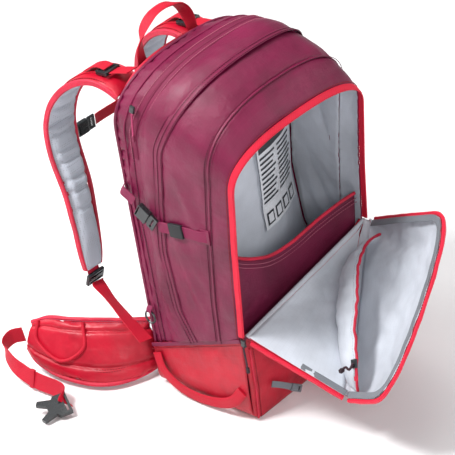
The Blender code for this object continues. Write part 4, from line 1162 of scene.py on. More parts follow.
def flap():
    """Both flap panels in their open position, the bends between them, rim, pocket and zip."""
    low = flap_lower_points(61, 25, 0.012, 0.985, edge=0.006, low_edge=0.005)
    x, z = low[:, :, 0], low[:, :, 2]
    inner = sewn_edge(61, 25, 0.5, 0.5)
    slack = 0.0030 * wave_noise(x, z, 0.09, 0.07, 81) + 0.0012 * wave_noise(x, z, 0.03, 0.03, 86)
    low[:, :, 1] -= inner * (slack + 0.0060 * np.sin(np.pi * np.linspace(0, 1, 61))[:, None])
    panel_low = cloth("flap_lower_shell", lower_open(low), -0.0030, SHELL, LINING, RED_PLAIN)
    on(panel_low, "flap_lower", "flap_lower_panel", slot="shell_nylon")

    t = np.linspace(0.030, 0.985, 111)
    up, share = flap_upper_points(t, 49, edge=0.006, rim_edge=0.003)
    x, z = up[:, :, 0], up[:, :, 2]
    inner = np.sin(np.pi * np.linspace(0, 1, 111))[:, None] ** 0.5 * np.sin(np.pi * share) ** 0.5
    gather = gathers(t * 0.42, 0.011, 83)[:, None] * np.clip((share - 0.72) / 0.28, 0, 1) ** 1.4
    slack = 0.0034 * wave_noise(x, z, 0.10, 0.08, 82) + 0.0014 * wave_noise(x, z, 0.035, 0.05, 85)
    up[:, :, 1] -= inner * slack + gather * 0.0026 * inner**0.3
    panel_up = cloth("flap_upper_shell", upper_open(up), -0.0034, SHELL, LINING, RED_PLAIN)
    on(panel_up, "flap_upper", "flap_upper_panel", slot="shell_nylon")

    # bends over the hinge line and over the crease
    ahead = (0, -0.0006, 0)
    t = np.linspace(0.010, 0.985, 61)
    hinge = AXIS_LEFT + (AXIS_RIGHT - AXIS_LEFT) * t[:, None]
    above = flap_lower_points(61, 25, t[0], t[-1], low_edge=0.0070)[:, 0]
    bend_strip("flap_hinge_bend", 2 * hinge - above + ahead, hinge + ahead,
               above + ahead, lower_open)
    t = np.linspace(0.024, 0.985, 61)
    crease = FOLD_POINT + (AXIS_RIGHT - FOLD_POINT) * t[:, None]
    below = flap_lower_points(61, 25, t[0], t[-1], edge=0.0090)[:, -1]
    above = flap_upper_points(t, 25, edge=0.0100)[0][:, 0]
    bend_strip("flap_crease_bend", below + ahead, crease + ahead,
               above + ahead, upper_open)

    # rim binding and the flap's half of the zip
    for name, body, node, first, last in (
        ("flap_lower", "flap_lower", "flap_lower_zip", 0.012, FOLD_SHARE - 0.010),
        ("flap_upper", "flap_upper", "flap_upper_zip", FOLD_SHARE + 0.010, 0.975),
    ):
        shares = np.linspace(first, last, 201 if body == "flap_upper" else 41)
        rim = flap_rim(shares)
        ahead = unit(rim - np.array([rim_point(v, 0.0) for v in shares]))
        opened = lower_open if body == "flap_lower" else upper_open
        path = opened(rim + ahead * 0.0002)
        across = opened(rim - ahead * 0.0100) - path
        across = unit(across)
        tape = sweep(f"{name}_rim_tape", path, across, flat_profile(0.0078, 0.0044, 0.5), ZIP_RED,
                     wobble=0.0006)
        on(tape, body, node, slot="red_zip")
        way = facing_way(rim)
        inside = opened(rim + way * 0.0085 + (0, 0.0042, 0))
        band = sweep(f"{name}_rim_facing", inside, opened(rim + way * 0.0185 + (0, 0.0042, 0)) - inside,
                     flat_profile(0.0100, 0.0010), DARK_TAPE, wobble=0.0006)
        on(band, body, slot="grey_lining")
        teeth = coil(f"{name}_rim_coil", opened(rim - ahead * 0.0016 + facing_way(rim) * 0.0030), across,
                     ZIP_RED, 0.0034, 0.0030)
        on(teeth, body, slot="red_zip")
        inset = unit(np.array((0.0, 0.0, -0.2)) + (rim.mean(axis=0) - rim))
        on(stitches(f"{name}_rim_stitches", opened(rim + (0, 0.0022, 0) + inset * 0.0035), across,
                    STITCH_RED), body,
           slot="red_zip")
    flap_pocket()


def facing_way(rim):
    """Directions across the flap's face, from its rim inwards."""
    tangent = unit(np.gradient(rim, axis=0))
    way = np.cross(tangent, np.array((0.0, 1.0, 0.0)))
    centre = rim.mean(axis=0) - rim
    return unit(way) * np.where((way * centre).sum(axis=1, keepdims=True) > 0, 1.0, -1.0)


def bend_strip(name, first, fold, last, opened):
    """Fabric across a fold, from one panel's edge over the fold line to the next, given as they lie closed.

    Each point turns by a share that eases from 0 at the first panel's edge to 1 at the last.
    """
    at = np.linspace(0, 1, 13)[None, :, None]
    closed = np.where(at < 0.5, first[:, None] * (1 - 2 * at) + fold[:, None] * 2 * at,
                      fold[:, None] * (2 - 2 * at) + last[:, None] * (2 * at - 1))
    row = len(first) // 2
    start, end = opened(first[row], 0.0), opened(last[row], 1.0)
    along = unit(opened(fold[-1], 1.0) - opened(fold[0], 1.0))
    end = end - along * ((end - start) @ along)
    low, high = np.zeros(closed.shape[:2]), np.ones(closed.shape[:2])
    for _ in range(30):
        share = (low + high) / 2
        reach = np.clip((opened(closed, share) - start) @ (end - start) / ((end - start) @ (end - start)),
                        0, 1)
        short = reach * reach * (3 - 2 * reach) > share
        low, high = np.where(short, share, low), np.where(short, high, share)
    strip = cloth(name, opened(closed, share), -SHELL_THICK, SHELL, LINING, SHELL)
    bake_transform(strip)


POCKET_ROOM = 0.060


def flap_pocket():
    """Roomy pocket inside the flap, gathered at its base; its zipped mouth gapes."""
    rows, columns = 81, 57
    t = np.linspace(0.10, 0.84, rows)
    up, _ = flap_upper_points(t, columns, edge=0.004, rim_edge=0.004)
    along = np.linspace(0, 1, rows)[:, None]
    across = np.linspace(0, 1, columns)[None, :]
    mouth_at = 0.46 - 0.18 * np.cos(np.pi * (along - 0.62) * 1.15)
    share = across * mouth_at
    where = share * (columns - 1)
    low = np.clip(where.astype(int), 0, columns - 2)
    part = (where - low)[:, :, None]
    row = np.arange(rows)[:, None]
    points = up[row, low] * (1 - part) + up[row, low + 1] * part
    full = np.sin(np.pi * np.clip(along * 0.96 + 0.02, 0, 1)) ** 0.75
    swell = POCKET_ROOM * full * np.sin(np.pi * (0.06 + 0.56 * across)) ** 0.9
    x, z = points[:, :, 0], points[:, :, 2]
    creases = 0.0030 * wave_noise(x, z, 0.06, 0.07, 91) + 0.0012 * wave_noise(x, z, 0.02, 0.04, 92)
    lean = np.clip(1 - across * 1.6, 0, 1) * full
    points[:, :, 1] += 0.0040 + swell + creases * full
    down = unit(AXIS_LEFT + (AXIS_RIGHT - AXIS_LEFT) * t[:, None] - FOLD_POINT - (AXIS_RIGHT - FOLD_POINT)
                * t[:, None])
    points += down[:, None, :] * (0.028 * lean)[:, :, None]
    opened = upper_open(points)
    piece = cloth("flap_pocket_panel", opened, -0.0010, LINING, LINING, LINING)
    pocket_piece(piece, "grey_lining", "flap_inner_pocket")
    edge = opened[:, -1]
    bound = sweep("flap_pocket_binding", edge, unit(opened[:, -2] - edge), round_profile(0.0022, 8),
                  RED_PLAIN,
                  wobble=0.0005)
    pocket_piece(bound, "red_webbing")
    teeth = coil("flap_pocket_coil", opened[:, -5], unit(opened[:, -7] - opened[:, -5]), DARK_LINING,
                 0.0036, 0.0012)
    pocket_piece(teeth, "grey_lining")
    for k in (0, 1):
        thread = opened[2:-2, -9 - 4 * k]
        wide = unit(opened[2:-2, -11 - 4 * k] - thread)
        pocket_piece(stitches(f"flap_pocket_stitches_{k + 1}", thread, wide, STITCH_GREY), "red_webbing")
    start = 15
    middle = opened[start, -3]
    ahead = unit(opened[start + 3, -3] - middle)
    out = unit(np.cross(ahead, opened[start, -8] - middle))
    out = out if out[2] > 0 else -out
    slider = hard_block("flap_pocket_slider", middle + out * 0.0025, ahead, out, (0.013, 0.009, 0.0050),
                        PLASTIC, 0.0012)
    pocket_piece(slider, "black_acetal")
    tail = [middle + out * 0.005, middle + out * 0.008 - ahead * 0.006 + (-0.006, 0, 0.0),
            middle + out * 0.006 + (-0.013, 0.002, 0.001), middle + out * 0.004 + (-0.022, 0.004, 0.000)]
    pocket_piece(sweep("flap_pocket_pull", tail, out, round_profile(0.0019, 8), DARK_CORD, 0.002),
                 "pull_cord")
    knot = hard_block("flap_pocket_pull_knot", tail[-1], (1, 0, 0), out, (0.008, 0.0065, 0.0060),
                      DARK_CORD, 0.0022)
    pocket_piece(knot, "pull_cord")
    ends = [middle, middle - ahead * 0.010 + (0, 0, -0.001), middle - ahead * 0.022 + (0, 0, -0.002)]
    tab = sweep("flap_pocket_zip_end", ends, unit(opened[start, -8] - middle),
                flat_profile(0.0075, 0.0016), ZIP_RED, 0.003)
    pocket_piece(tab, "red_zip")


def pocket_piece(piece, slot, node=None):
    """A piece of the flap's inner pocket: it rides on the upper panel."""
    on(piece, "flap_upper", *([node] if node else []), slot=slot)
    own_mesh(piece)


def placed(at, x_axis, z_axis):
    x = Vector(x_axis).normalized()
    z = Vector(z_axis)
    z = (z - x * z.dot(x)).normalized()
    return Matrix.Translation(Vector(at)) @ Matrix((x, z.cross(x), z)).transposed().to_4x4()


def box(name, size, centre=(0.0, 0.0, 0.0), bevel=0.0):
    """A block about centre, with its edges rounded where bevel is given."""
    bm = bmesh.new()
    bmesh.ops.create_cube(bm, size=1.0)
    for v in bm.verts:
        v.co = Vector([v.co[k] * size[k] + centre[k] for k in range(3)])
    if bevel:
        bmesh.ops.bevel(bm, geom=bm.edges, offset=bevel, segments=3, profile=0.6, affect="EDGES")
    mesh = bpy.data.meshes.new(name)
    bm.to_mesh(mesh)
    bm.free()
    obj = bpy.data.objects.new(name, mesh)
    bpy.context.scene.collection.objects.link(obj)
    return obj


def hard_block(name, at, x_axis, z_axis, size, material, bevel, holes=()):
    """A moulded block with rounded edges and through slots; holes are (x, y, size x, size y)."""
    obj = box(name, size, bevel=bevel)
    obj.data.materials.append(material)
    for k, (hx, hy, sx, sy) in enumerate(holes):
        apply_cut(obj, box(f"{name}_cut_{k}", (sx, sy, 0.05), (hx, hy, 0.0)))
    obj.data.transform(placed(at, x_axis, z_axis))
    obj.data.shade_smooth()
    obj.data.set_sharp_from_angle(angle=math.radians(35))
    return obj


def apply_cut(obj, tool):
    boolean = obj.modifiers.new("cut", "BOOLEAN")
    boolean.operation = "DIFFERENCE"
    boolean.solver = "EXACT"
    boolean.object = tool
    freeze(obj)
    bpy.data.objects.remove(tool, do_unlink=True)


def freeze(obj):
    """Replaces an object's mesh by its modified one."""
    bpy.context.view_layer.update()
    done = bpy.data.meshes.new_from_object(obj.evaluated_get(bpy.context.evaluated_depsgraph_get()))
    obj.modifiers.clear()
    old = obj.data
    obj.data = done
    bpy.data.meshes.remove(old)


# Carrying system


STRAP_PATH = (
    (0.082, 0.1180, 0.470),
    (0.084, 0.140, 0.483),
    (0.086, 0.165, 0.487),
    (0.089, 0.195, 0.479),
    (0.093, 0.226, 0.458),
    (0.097, 0.252, 0.424),
    (0.100, 0.264, 0.382),
    (0.103, 0.259, 0.335),
    (0.107, 0.243, 0.285),
    (0.112, 0.234, 0.230),
    (0.117, 0.228, 0.180),
    (0.119, 0.227, 0.152),
)
STRAP_WIDTH = (0.058, 0.060, 0.062, 0.064, 0.066, 0.066, 0.064, 0.062, 0.058, 0.052, 0.046, 0.036)
STRAP_PAD = 0.011
WING_PAD = 0.011
WEBBING_THICK = 0.0015


def mirrored(path, side):
    return np.array([(side * p[0], *p[1:]) for p in path], float)


def swollen(obj, materials, middle, wide, out, width, cap, quilting, creases):
    """Swells a closed pad under pressure, paints its faces again and presses its seams back in."""
    remesh = obj.modifiers.new("remesh", "REMESH")
    remesh.mode = "VOXEL"
    remesh.voxel_size = 0.0042
    freeze(obj)
    start = np.array([v.co for v in obj.data.vertices])
    pressure = obj.modifiers.new("cloth", "CLOTH")
    settings = pressure.settings
    settings.quality = 5
    settings.mass = 0.25
    settings.use_pressure = True
    settings.uniform_pressure_force = 4.0
    settings.tension_stiffness = 25
    settings.compression_stiffness = 25
    settings.bending_stiffness = 1.5
    settings.effector_weights.gravity = 0
    pressure.collision_settings.use_collision = False
    scene = bpy.context.scene
    for frame_number in range(1, 17):
        scene.frame_set(frame_number)
    done = obj.evaluated_get(bpy.context.evaluated_depsgraph_get()).to_mesh()
    moved = np.array([v.co for v in done.vertices]) - start
    obj.modifiers.clear()
    scene.frame_set(1)
    size = np.linalg.norm(moved, axis=1, keepdims=True)
    co = start + moved * np.minimum(1.0, cap / np.maximum(size, 1e-9))
    obj.data.vertices.foreach_set("co", co.astype(np.float32).reshape(-1))
    smoother = obj.modifiers.new("round", "SUBSURF")
    smoother.levels = 1
    smoother.render_levels = 1
    freeze(obj)
    co = np.array([v.co for v in obj.data.vertices])
    near = nearest_row(co, middle)
    off = co - middle[near]
    side = (off * out[near]).sum(axis=1)
    v = (off * wide[near]).sum(axis=1) / (width[near] / 2)
    if quilting:
        outer, total, length = quilting
        sign = 1 if outer == 0 else -1
        share = length[near] / total
        line = np.exp(-(((v + 0.55 - 0.10 * np.sin(np.pi * share)) / 0.05) ** 2))
        line = np.maximum(line, np.exp(-(((v - 0.60) / 0.045) ** 2)))
        press = 0.0030 * line * (side * sign > 0)
        co -= out[near] * (press * sign)[:, None]
    if creases:
        length, depth, sign = creases
        press = 1.4 * depth[near] * (side * sign > 0) * np.clip(1 - np.abs(v) ** 4, 0, 1)
        co -= out[near] * (press * sign)[:, None]
    obj.data.vertices.foreach_set("co", co.astype(np.float32).reshape(-1))
    obj.data.materials.clear()
    for made in materials:
        obj.data.materials.append(made)
    centre = np.array([p.center for p in obj.data.polygons])
    near = nearest_row(centre, middle)
    side = ((centre - middle[near]) * out[near]).sum(axis=1)
    obj.data.polygons.foreach_set("material_index", np.where(side > 0, 0, 1).astype(np.int32))
    obj.data.shade_smooth()
    obj.data.update()
    return obj


def nearest_row(points, middle):
    """For each point, the nearest row of a pad's centre line."""
    return np.array([int(np.argmin(((middle - p) ** 2).sum(axis=1))) for p in points])


def pad_body(centre, across, widths, thickness, seed, rows, columns=26):
    """The two faces of a quilted pad, the first on its +out side, and the frames along its centre line."""
    table = smooth_path(np.hstack([path_table(centre, across), np.array(widths, float)[:, None]]), 10)
    at = np.linspace(0, len(table) - 1, rows)
    table = np.stack([np.interp(at, np.arange(len(table)), table[:, k]) for k in range(7)], axis=1)
    middle, wide, _, out = path_frames(table)
    width = table[:, 6]
    length = path_length(middle)
    v = np.linspace(-1, 1, columns)
    dome = np.clip(1 - np.abs(v) ** 2.6, 0, 1) ** 0.5
    ends = np.clip(1 - np.abs(np.linspace(-1, 1, rows)) ** 14, 0, 1) ** 0.5
    wave = wave_noise(length[:, None], v[None, :] * 0.05, 0.06, 0.06, seed)
    half = thickness / 2 * dome[None, :] * (0.35 + 0.65 * ends[:, None])
    half = half * (1 + 0.10 * wave)
    faces = []
    for sign in (1, -1):
        faces.append(middle[:, None, :] + wide[:, None, :] * (v[None, :] * width[:, None] / 2)[:, :, None]
                     + out[:, None, :] * (sign * half)[:, :, None])
    return faces, (middle, wide, out, width, length)


def sewn_pad(name, faces, materials):
    """Joins a pad's two faces along their rims."""
    top, bottom = faces
    rows, columns, _ = top.shape
    verts = np.concatenate([top.reshape(-1, 3), bottom.reshape(-1, 3)])
    count = rows * columns
    quads, kinds, uvs = [], [], []
    uv = grid_uv(top)

    def add(quad, kind, marks):
        quads.append(quad)
        kinds.append(kind)
        uvs.extend(marks)

    for i in range(rows - 1):
        for j in range(columns - 1):
            a, b, c, d = i * columns + j, (i + 1) * columns + j, (i
                                                                  + 1) * columns + j + 1, i * columns + j + 1
            marks = [uv[i, j], uv[i + 1, j], uv[i + 1, j + 1], uv[i, j + 1]]
            add((a, b, c, d), 0, marks)
            add((a + count, d + count, c + count, b + count), 1, [marks[0], marks[3], marks[2], marks[1]])
    rim = [i * columns for i in range(rows)] + [(rows - 1) * columns + j for j in range(1, columns)]
    rim += [i * columns + columns - 1 for i in range(rows - 2, -1, -1)] + [j for j in range(columns - 2, 0,
                                                                                            -1)]
    for k in range(len(rim)):
        a, b = rim[k], rim[(k + 1) % len(rim)]
        add((b, a, a + count, b + count), 2, [(0, 0)] * 4)
    obj = new_object(name, verts, quads, materials, kinds, uvs)
    obj.data.validate()
    work = bmesh.new()
    work.from_mesh(obj.data)
    bmesh.ops.remove_doubles(work, verts=work.verts, dist=0.00005)
    bmesh.ops.recalc_face_normals(work, faces=work.faces)
    work.to_mesh(obj.data)
    work.free()
    obj.data.shade_smooth()
    return obj


def shoulder_strap(side, name):
    path = mirrored(STRAP_PATH, side)
    faces, (middle, wide, out, width, length) = pad_body(
        path, (1, 0, 0), STRAP_WIDTH, STRAP_PAD, 3 + side, rows=170
    )
    # the red face lies away from the wearer
    wearer = out[:, 1].mean() < 0
    crease = np.zeros(len(length))
    rng = np.random.default_rng(17 + side)
    for at in np.cumsum(rng.uniform(0.016, 0.034, 14)):
        crease += 0.0016 * np.exp(-(((length - at) / 0.0035) ** 2))
    red, grey = (1, 0) if wearer else (0, 1)
    sign = 1 if grey == 0 else -1
    inward = out[:, None, :] * (sign * crease)[:, None, None]
    taper = np.clip(1 - np.abs(np.linspace(-1, 1, faces[0].shape[1])) ** 4, 0, 1)[None, :, None]
    faces[grey] = faces[grey] - inward * taper
    materials = [PADDING, RED_NYLON, RED_PLAIN] if grey == 0 else [RED_NYLON, PADDING, RED_PLAIN]
    pad = sewn_pad(f"shoulder_strap_{name}_pad", faces, materials)
    pad = swollen(pad, materials, middle, wide, out, width, 0.005, None,
                  (length, crease, 1 if grey == 0 else -1))
    on(pad, "pack", f"shoulder_strap_{name}", slot="grey_padding")
    sign = 1 if red == 0 else -1
    for k, edge in ((1, -1), (2, 1)):
        rim = middle + wide * (edge * (width / 2 - 0.0030))[:, None]
        binding = sweep(f"shoulder_strap_{name}_binding_{k}", rim[2:-2], out[2:-2],
                        flat_profile(0.0100, 0.0044, 0.5),
                        RED_PLAIN, 0.005, wobble=0.0004)
        on(binding, "pack", slot="red_webbing")
        row = middle + wide * (edge * (width / 2 - 0.0072))[:, None] + out * sign * STRAP_PAD * 0.42
        on(stitches(f"shoulder_strap_{name}_stitches_{k}", row[3:-3], wide[3:-3] * sign, STITCH_RED), "pack",
           slot="red_webbing")
    # daisy-chain webbing down the red face
    row = middle + out * sign * (STRAP_PAD / 2 + 0.0012)
    first, last = int(len(row) * 0.12), int(len(row) * 0.96)
    daisy = sweep(f"shoulder_strap_{name}_webbing", row[first:last], wide[first:last],
                  flat_profile(0.019, 0.0014),
                  WEBBING, wobble=0.0003)
    on(daisy, "pack", slot="red_webbing")


def ladder_lock(side, name):
    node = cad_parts[f"ladder_lock_{name}"]
    repaint(node, PLASTIC)
    tab = mirrored(((0.1185, 0.2272, 0.1720), (0.1192, 0.2268, 0.1560), (0.1203, 0.2252, 0.1470),
                    (0.1205, 0.2246, 0.1425)),
                   side)
    piece = sweep(f"ladder_lock_{name}_tab", tab, (1, 0, 0), flat_profile(0.0240, 0.0030, 0.5), RED_PLAIN,
                  0.003)
    on(piece, "pack", slot="red_webbing")
    lower = mirrored(
        ((0.1205, 0.2180, 0.1330), (0.122, 0.2165, 0.1275), (0.1275, 0.190, 0.1135), (0.138, 0.145, 0.0945),
         (0.1475, 0.103, 0.079)), side
    )
    across = np.array([(1, 0, 0.0), (1, 0, 0.1 * side), (0.8, -0.1, 0.5 * side), (0.9, 0.1, 0.25 * side),
                       (1, 0, 0.1 * side)])
    strap = sweep(f"lower_webbing_{name}_strap", lower, across, flat_profile(0.024, WEBBING_THICK),
                  WEBBING, 0.003,
                  wobble=0.0003)
    on(strap, "pack", f"lower_webbing_{name}", slot="red_webbing")


def repaint(node, material):
    for place in node.material_slots:
        place.material = material


def load_lifter(side, name):
    path = mirrored(((0.082, 0.1075, 0.5065), (0.082, 0.1125, 0.5055), (0.084, 0.127, 0.5030),
                     (0.0855, 0.1425, 0.4990)), side)
    strap = sweep(f"load_lifter_{name}_strap", path, (1, 0, 0), flat_profile(0.022, WEBBING_THICK),
                  WEBBING, 0.003)
    on(strap, "pack", f"load_lifter_webbing_{name}", slot="red_webbing")
    repaint(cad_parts[f"load_lifter_buckle_{name}"], PLASTIC)
    tail = mirrored(((0.0865, 0.1500, 0.5035), (0.0868, 0.1640, 0.5045), (0.0875, 0.1800, 0.4990),
                     (0.0880, 0.1930, 0.4905)), side)
    end = sweep(f"load_lifter_{name}_tail", tail, (1, 0, 0), flat_profile(0.0215, WEBBING_THICK), WEBBING,
                0.003)
    on(end, "pack", slot="red_webbing")


def haul_loop():
    half = ((-0.054, 0.1105, 0.492), (-0.054, 0.1125, 0.503), (-0.053, 0.1150, 0.524),
            (-0.041, 0.1160, 0.550),
            (-0.017, 0.1150, 0.5660))
    turns = ((1, 0, 0), (1, 0, 0), (1, 0.35, 0), (0.6, 1, 0.4), (0, 1, 0))
    path = list(half) + [(-x, y, z) for x, y, z in reversed(half)]
    across = list(turns) + [(-x, y, -z) for x, y, z in reversed(turns)]
    handle = sweep("haul_loop_webbing", path, across, flat_profile(0.0190, 0.0030, 0.5), WEBBING, 0.003,
                   wobble=0.0004)
    on(handle, "pack", "haul_loop", slot="red_webbing")


def sternum_strap():
    y = 0.2760
    for node in ("slider_left", "slider_right", "buckle_socket", "buckle_tongue"):
        repaint(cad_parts[f"sternum_{node}"], PLASTIC)
    left = ((-0.0870, y, 0.352), (-0.075, y + 0.003, 0.349), (-0.0565, y + 0.005, 0.345))
    right = ((0.0870, y, 0.352), (0.050, y + 0.004, 0.346), (0.000, y + 0.006, 0.345),
             (-0.014, y + 0.005, 0.345))
    for name, path in (("left", left), ("right", right)):
        strap = sweep(f"sternum_strap_{name}", path, (0, 0, 1), flat_profile(0.018, WEBBING_THICK),
                      WEBBING, 0.003,
                      wobble=0.0003)
        if name == "left":
            on(strap, "sternum_rail", "sternum_webbing_left", slot="red_webbing")
        else:
            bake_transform(strap)
            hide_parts("sternum_webbing_right")


def back_system():
    """Foam back panel with its air channels, the lumbar pad and the sewn bindings."""
    xs = np.linspace(-0.128, 0.128, 75)
    rows = []
    for x in xs:
        half, spring, top, _, power, _ = BACK_EDGE
        share = min(abs(x) / (half - 0.012), 1.0)
        rise = math.sin(math.acos(min(share ** (1 / power), 1.0))) ** power
        peak = spring - 0.012 + (top - spring) * rise
        rows.append([(x, 0.1035 + 0.004 * math.sin(math.pi * z / 0.5), z) for z in np.linspace(0.012, peak,
                                                                                               121)])
    points = np.array(rows)
    x, z = points[:, :, 0], points[:, :, 2]
    edge = sewn_edge(75, 121, 0.35, 0.3)
    centre = np.exp(-((x / 0.016) ** 4))
    ribs = 0.5 + 0.5 * np.cos(2 * np.pi * (z + 0.35 * np.abs(x)) / 0.040)
    groove = np.clip((ribs - 0.72) / 0.28, 0, 1)
    lift = edge * (0.0085 - 0.0060 * centre - 0.0034 * groove * (1 - centre))
    points[:, :, 1] += lift
    pad = cloth("back_panel_foam", points, 0.0105, FOAM, FOAM, FOAM)
    on(pad, "pack", "back_panel_pad", slot="back_padding")
    rim = np.concatenate([points[:, 0], points[-1, 1:], points[::-1, -1][1:], points[0, ::-1][1:]])
    rim = rim + (0, -0.003, 0)
    for _ in range(4):
        rim[1:-1] = rim[1:-1] * 0.5 + (rim[:-2] + rim[2:]) * 0.25
    binding = sweep("back_panel_binding", rim, (0, 1, 0), round_profile(0.0028, 8), RED_PLAIN, 0.006)
    on(binding, "pack", slot="red_webbing")

    rows = []
    for x in np.linspace(-0.095, 0.095, 61):
        rows.append([(x, 0.1190 + 0.010 * math.cos(math.pi * x / 0.21), z) for z in np.linspace(0.020,
                                                                                                0.135, 41)])
    points = np.array(rows)
    x, z = points[:, :, 0], points[:, :, 2]
    edge = sewn_edge(61, 41, 0.4, 0.4)
    groove = np.exp(-(((np.abs(z - 0.0775) - 0.024) / 0.0035) ** 2)) * 0.0032
    points[:, :, 1] += edge * (0.0060 - groove)
    pad = cloth("lumbar_pad_quilted", points, 0.0075, PADDING, RED_NYLON, RED_PLAIN)
    on(pad, "pack", "lumbar_pad", slot="grey_padding")
    repaint(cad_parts["frame_sheet"], PLASTIC)
    for name in ("left", "right"):
        repaint(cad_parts[f"frame_stay_{name}"], STEEL)


WING_STATIONS = (
    ((0.1040, 0.124, 0.090), (0.118, 0.1195, 0.010)),
    ((0.1200, 0.144, 0.092), (0.145, 0.1230, 0.007)),
    ((0.1370, 0.164, 0.093), (0.171, 0.1310, 0.006)),
    ((0.1520, 0.188, 0.094), (0.195, 0.1480, 0.006)),
    ((0.1660, 0.212, 0.094), (0.210, 0.1770, 0.007)),
    ((0.1800, 0.245, 0.093), (0.219, 0.2150, 0.010)),
    ((0.1910, 0.281, 0.090), (0.220, 0.2620, 0.018)),
    ((0.2010, 0.301, 0.080), (0.214, 0.2950, 0.034)),
)


def hip_wing(side, name):
    body = f"hip_wing_{name}"
    upper = np.array([u for u, _ in WING_STATIONS]) * (side, 1, 1)
    lower = np.array([w for _, w in WING_STATIONS]) * (side, 1, 1)
    span = upper - lower
    widths = np.linalg.norm(span, axis=1)
    faces, (middle, wide, out, width, length) = pad_body(
        (upper + lower) / 2, span / widths[:, None], widths, WING_PAD, 9 + side, rows=110, columns=34
    )
    outer = 0 if (out[:, 0] * side).mean() > 0 else 1
    sign = 1 if outer == 0 else -1
    v = np.linspace(-1, 1, 34)
    total = length[-1]
    along = (length / total)[:, None]
    # sewn lines: one long arc low down, the pocket's edge, and a channel above it
    line = np.exp(-(((v[None, :] + 0.55 - 0.10 * np.sin(np.pi * along)) / 0.055) ** 2))
    line = np.maximum(line, np.exp(-(((v[None, :] - 0.60) / 0.05) ** 2)))
    puff = 0.0016 * wave_noise(length[:, None], v[None, :] * 0.05, 0.05, 0.04, 33)
    edge = np.clip(1 - np.abs(v) ** 6, 0, 1)[None, :]
    faces[outer] = faces[outer] + out[:, None, :] * (sign * edge * (0.0018 + puff - 0.0030 * line))[:, :,
                                                                                                    None]
    inner = 1 - outer
    ribs = 0.0014 * (0.5 + 0.5 * np.cos(2 * np.pi * length / 0.030))[:, None] * edge
    faces[inner] = faces[inner] + out[:, None, :] * (sign * ribs)[:, :, None]
    materials = [RED_NYLON, PADDING, RED_PLAIN] if outer == 0 else [PADDING, RED_NYLON, RED_PLAIN]
    pad = sewn_pad(f"hip_wing_{name}_pad", faces, materials)
    pad = swollen(pad, materials, middle, wide, out, width, 0.005, (outer, total, length), None)
    on(pad, body, f"hip_wing_{name}", slot="red_nylon")
    for k, share in ((1, 1.0), (2, -1.0)):
        rim = middle + wide * (share * (width / 2 - 0.0034))[:, None]
        binding = sweep(f"hip_wing_{name}_binding_{k}", rim[1:-1], out[1:-1],
                        flat_profile(0.0105, 0.0060, 0.5), RED_PLAIN,
                        0.005, wobble=0.0004)
        on(binding, body, slot="red_webbing")
    lines = ((1, 0.90), (2, 0.82), (3, 0.60), (4, -0.50), (5, -0.60))
    grid = faces[outer]
    for k, share in lines:
        j = int(round((share + 1) / 2 * 33))
        shifted = grid[3:-3, j] + out[3:-3] * sign * 0.0006
        on(stitches(f"hip_wing_{name}_stitches_{k}", shifted, wide[3:-3] * sign,
                    STITCH_PINK if k < 3 else STITCH_RED), body,
           slot="red_webbing")
    # gear loop
    stops = ((4, 0.93, 0.0095), (4, 0.55, 0.0135), (5, 0.30, 0.0155), (6, 0.50, 0.0135), (6, 0.90, 0.0095))
    loop = [wing_point(station, share, reach, side) for station, share, reach in stops]
    cord = sweep(f"gear_loop_{name}_cord", loop, (0, 0, 1), round_profile(0.0028, 10), WEBBING, 0.003)
    on(cord, body, f"gear_loop_{name}", slot="red_webbing")


def wing_point(station, share, out, side):
    upper, lower = (np.array(p) for p in WING_STATIONS[station])
    ahead = np.array(WING_STATIONS[min(station + 1, 7)][1]) - np.array(WING_STATIONS[max(station - 1, 0)][1])
    point = lower + (upper - lower) * share + unit(np.cross(ahead, upper - lower)) * out
    return (side * point[0], point[1], point[2])


BELT_ROUTE = (
    (0.2120, 0.3075, 0.0560),
    (0.2250, 0.3220, 0.0530),
    (0.2410, 0.3230, 0.0430),
    (0.2505, 0.3030, 0.0300),
    (0.2545, 0.2750, 0.0225),
    (0.2560, 0.2420, 0.0190),
    (0.2535, 0.2050, 0.0180),
)


def belt(side, name):
    body = f"hip_wing_{name}"
    upright = (0, 0, 1)
    leaning = (-0.35 * side, 0, 0.9)
    across = (upright, upright, upright, (-0.2 * side, 0, 1), leaning, leaning, leaning)
    slot_way = (-0.44 * side, 0.85, 0.31)
    route = BELT_ROUTE + ((0.2560, 0.1880, 0.0172), (0.2630, 0.1760, 0.0162), (0.2715, 0.1672, 0.0152))
    across += ((-0.40 * side, 0.35, 0.75), (-0.43 * side, 0.70, 0.45), slot_way)
    strap = sweep(f"hip_belt_{name}_webbing", mirrored(route, side), across,
                  flat_profile(0.0265, WEBBING_THICK),
                  WEBBING, 0.003, wobble=0.0003)
    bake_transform(strap)
    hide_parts(f"hip_webbing_{name}")
    node = "hip_buckle_tongue" if side < 0 else "hip_buckle_socket"
    repaint(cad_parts[node], PLASTIC)
    keeper = hard_block(f"hip_belt_{name}_keeper", (side * 0.2562, 0.2520, 0.0200), (0, 1, 0), (side, 0, 0.3),
                        (0.0090, 0.0300, 0.0045), WEBBING, 0.0010)
    on(keeper, body, slot="red_webbing")


def lying_flat(path, facing):
    along = np.gradient(np.array(path, float), axis=0)
    return np.cross(np.array(facing, float), along)


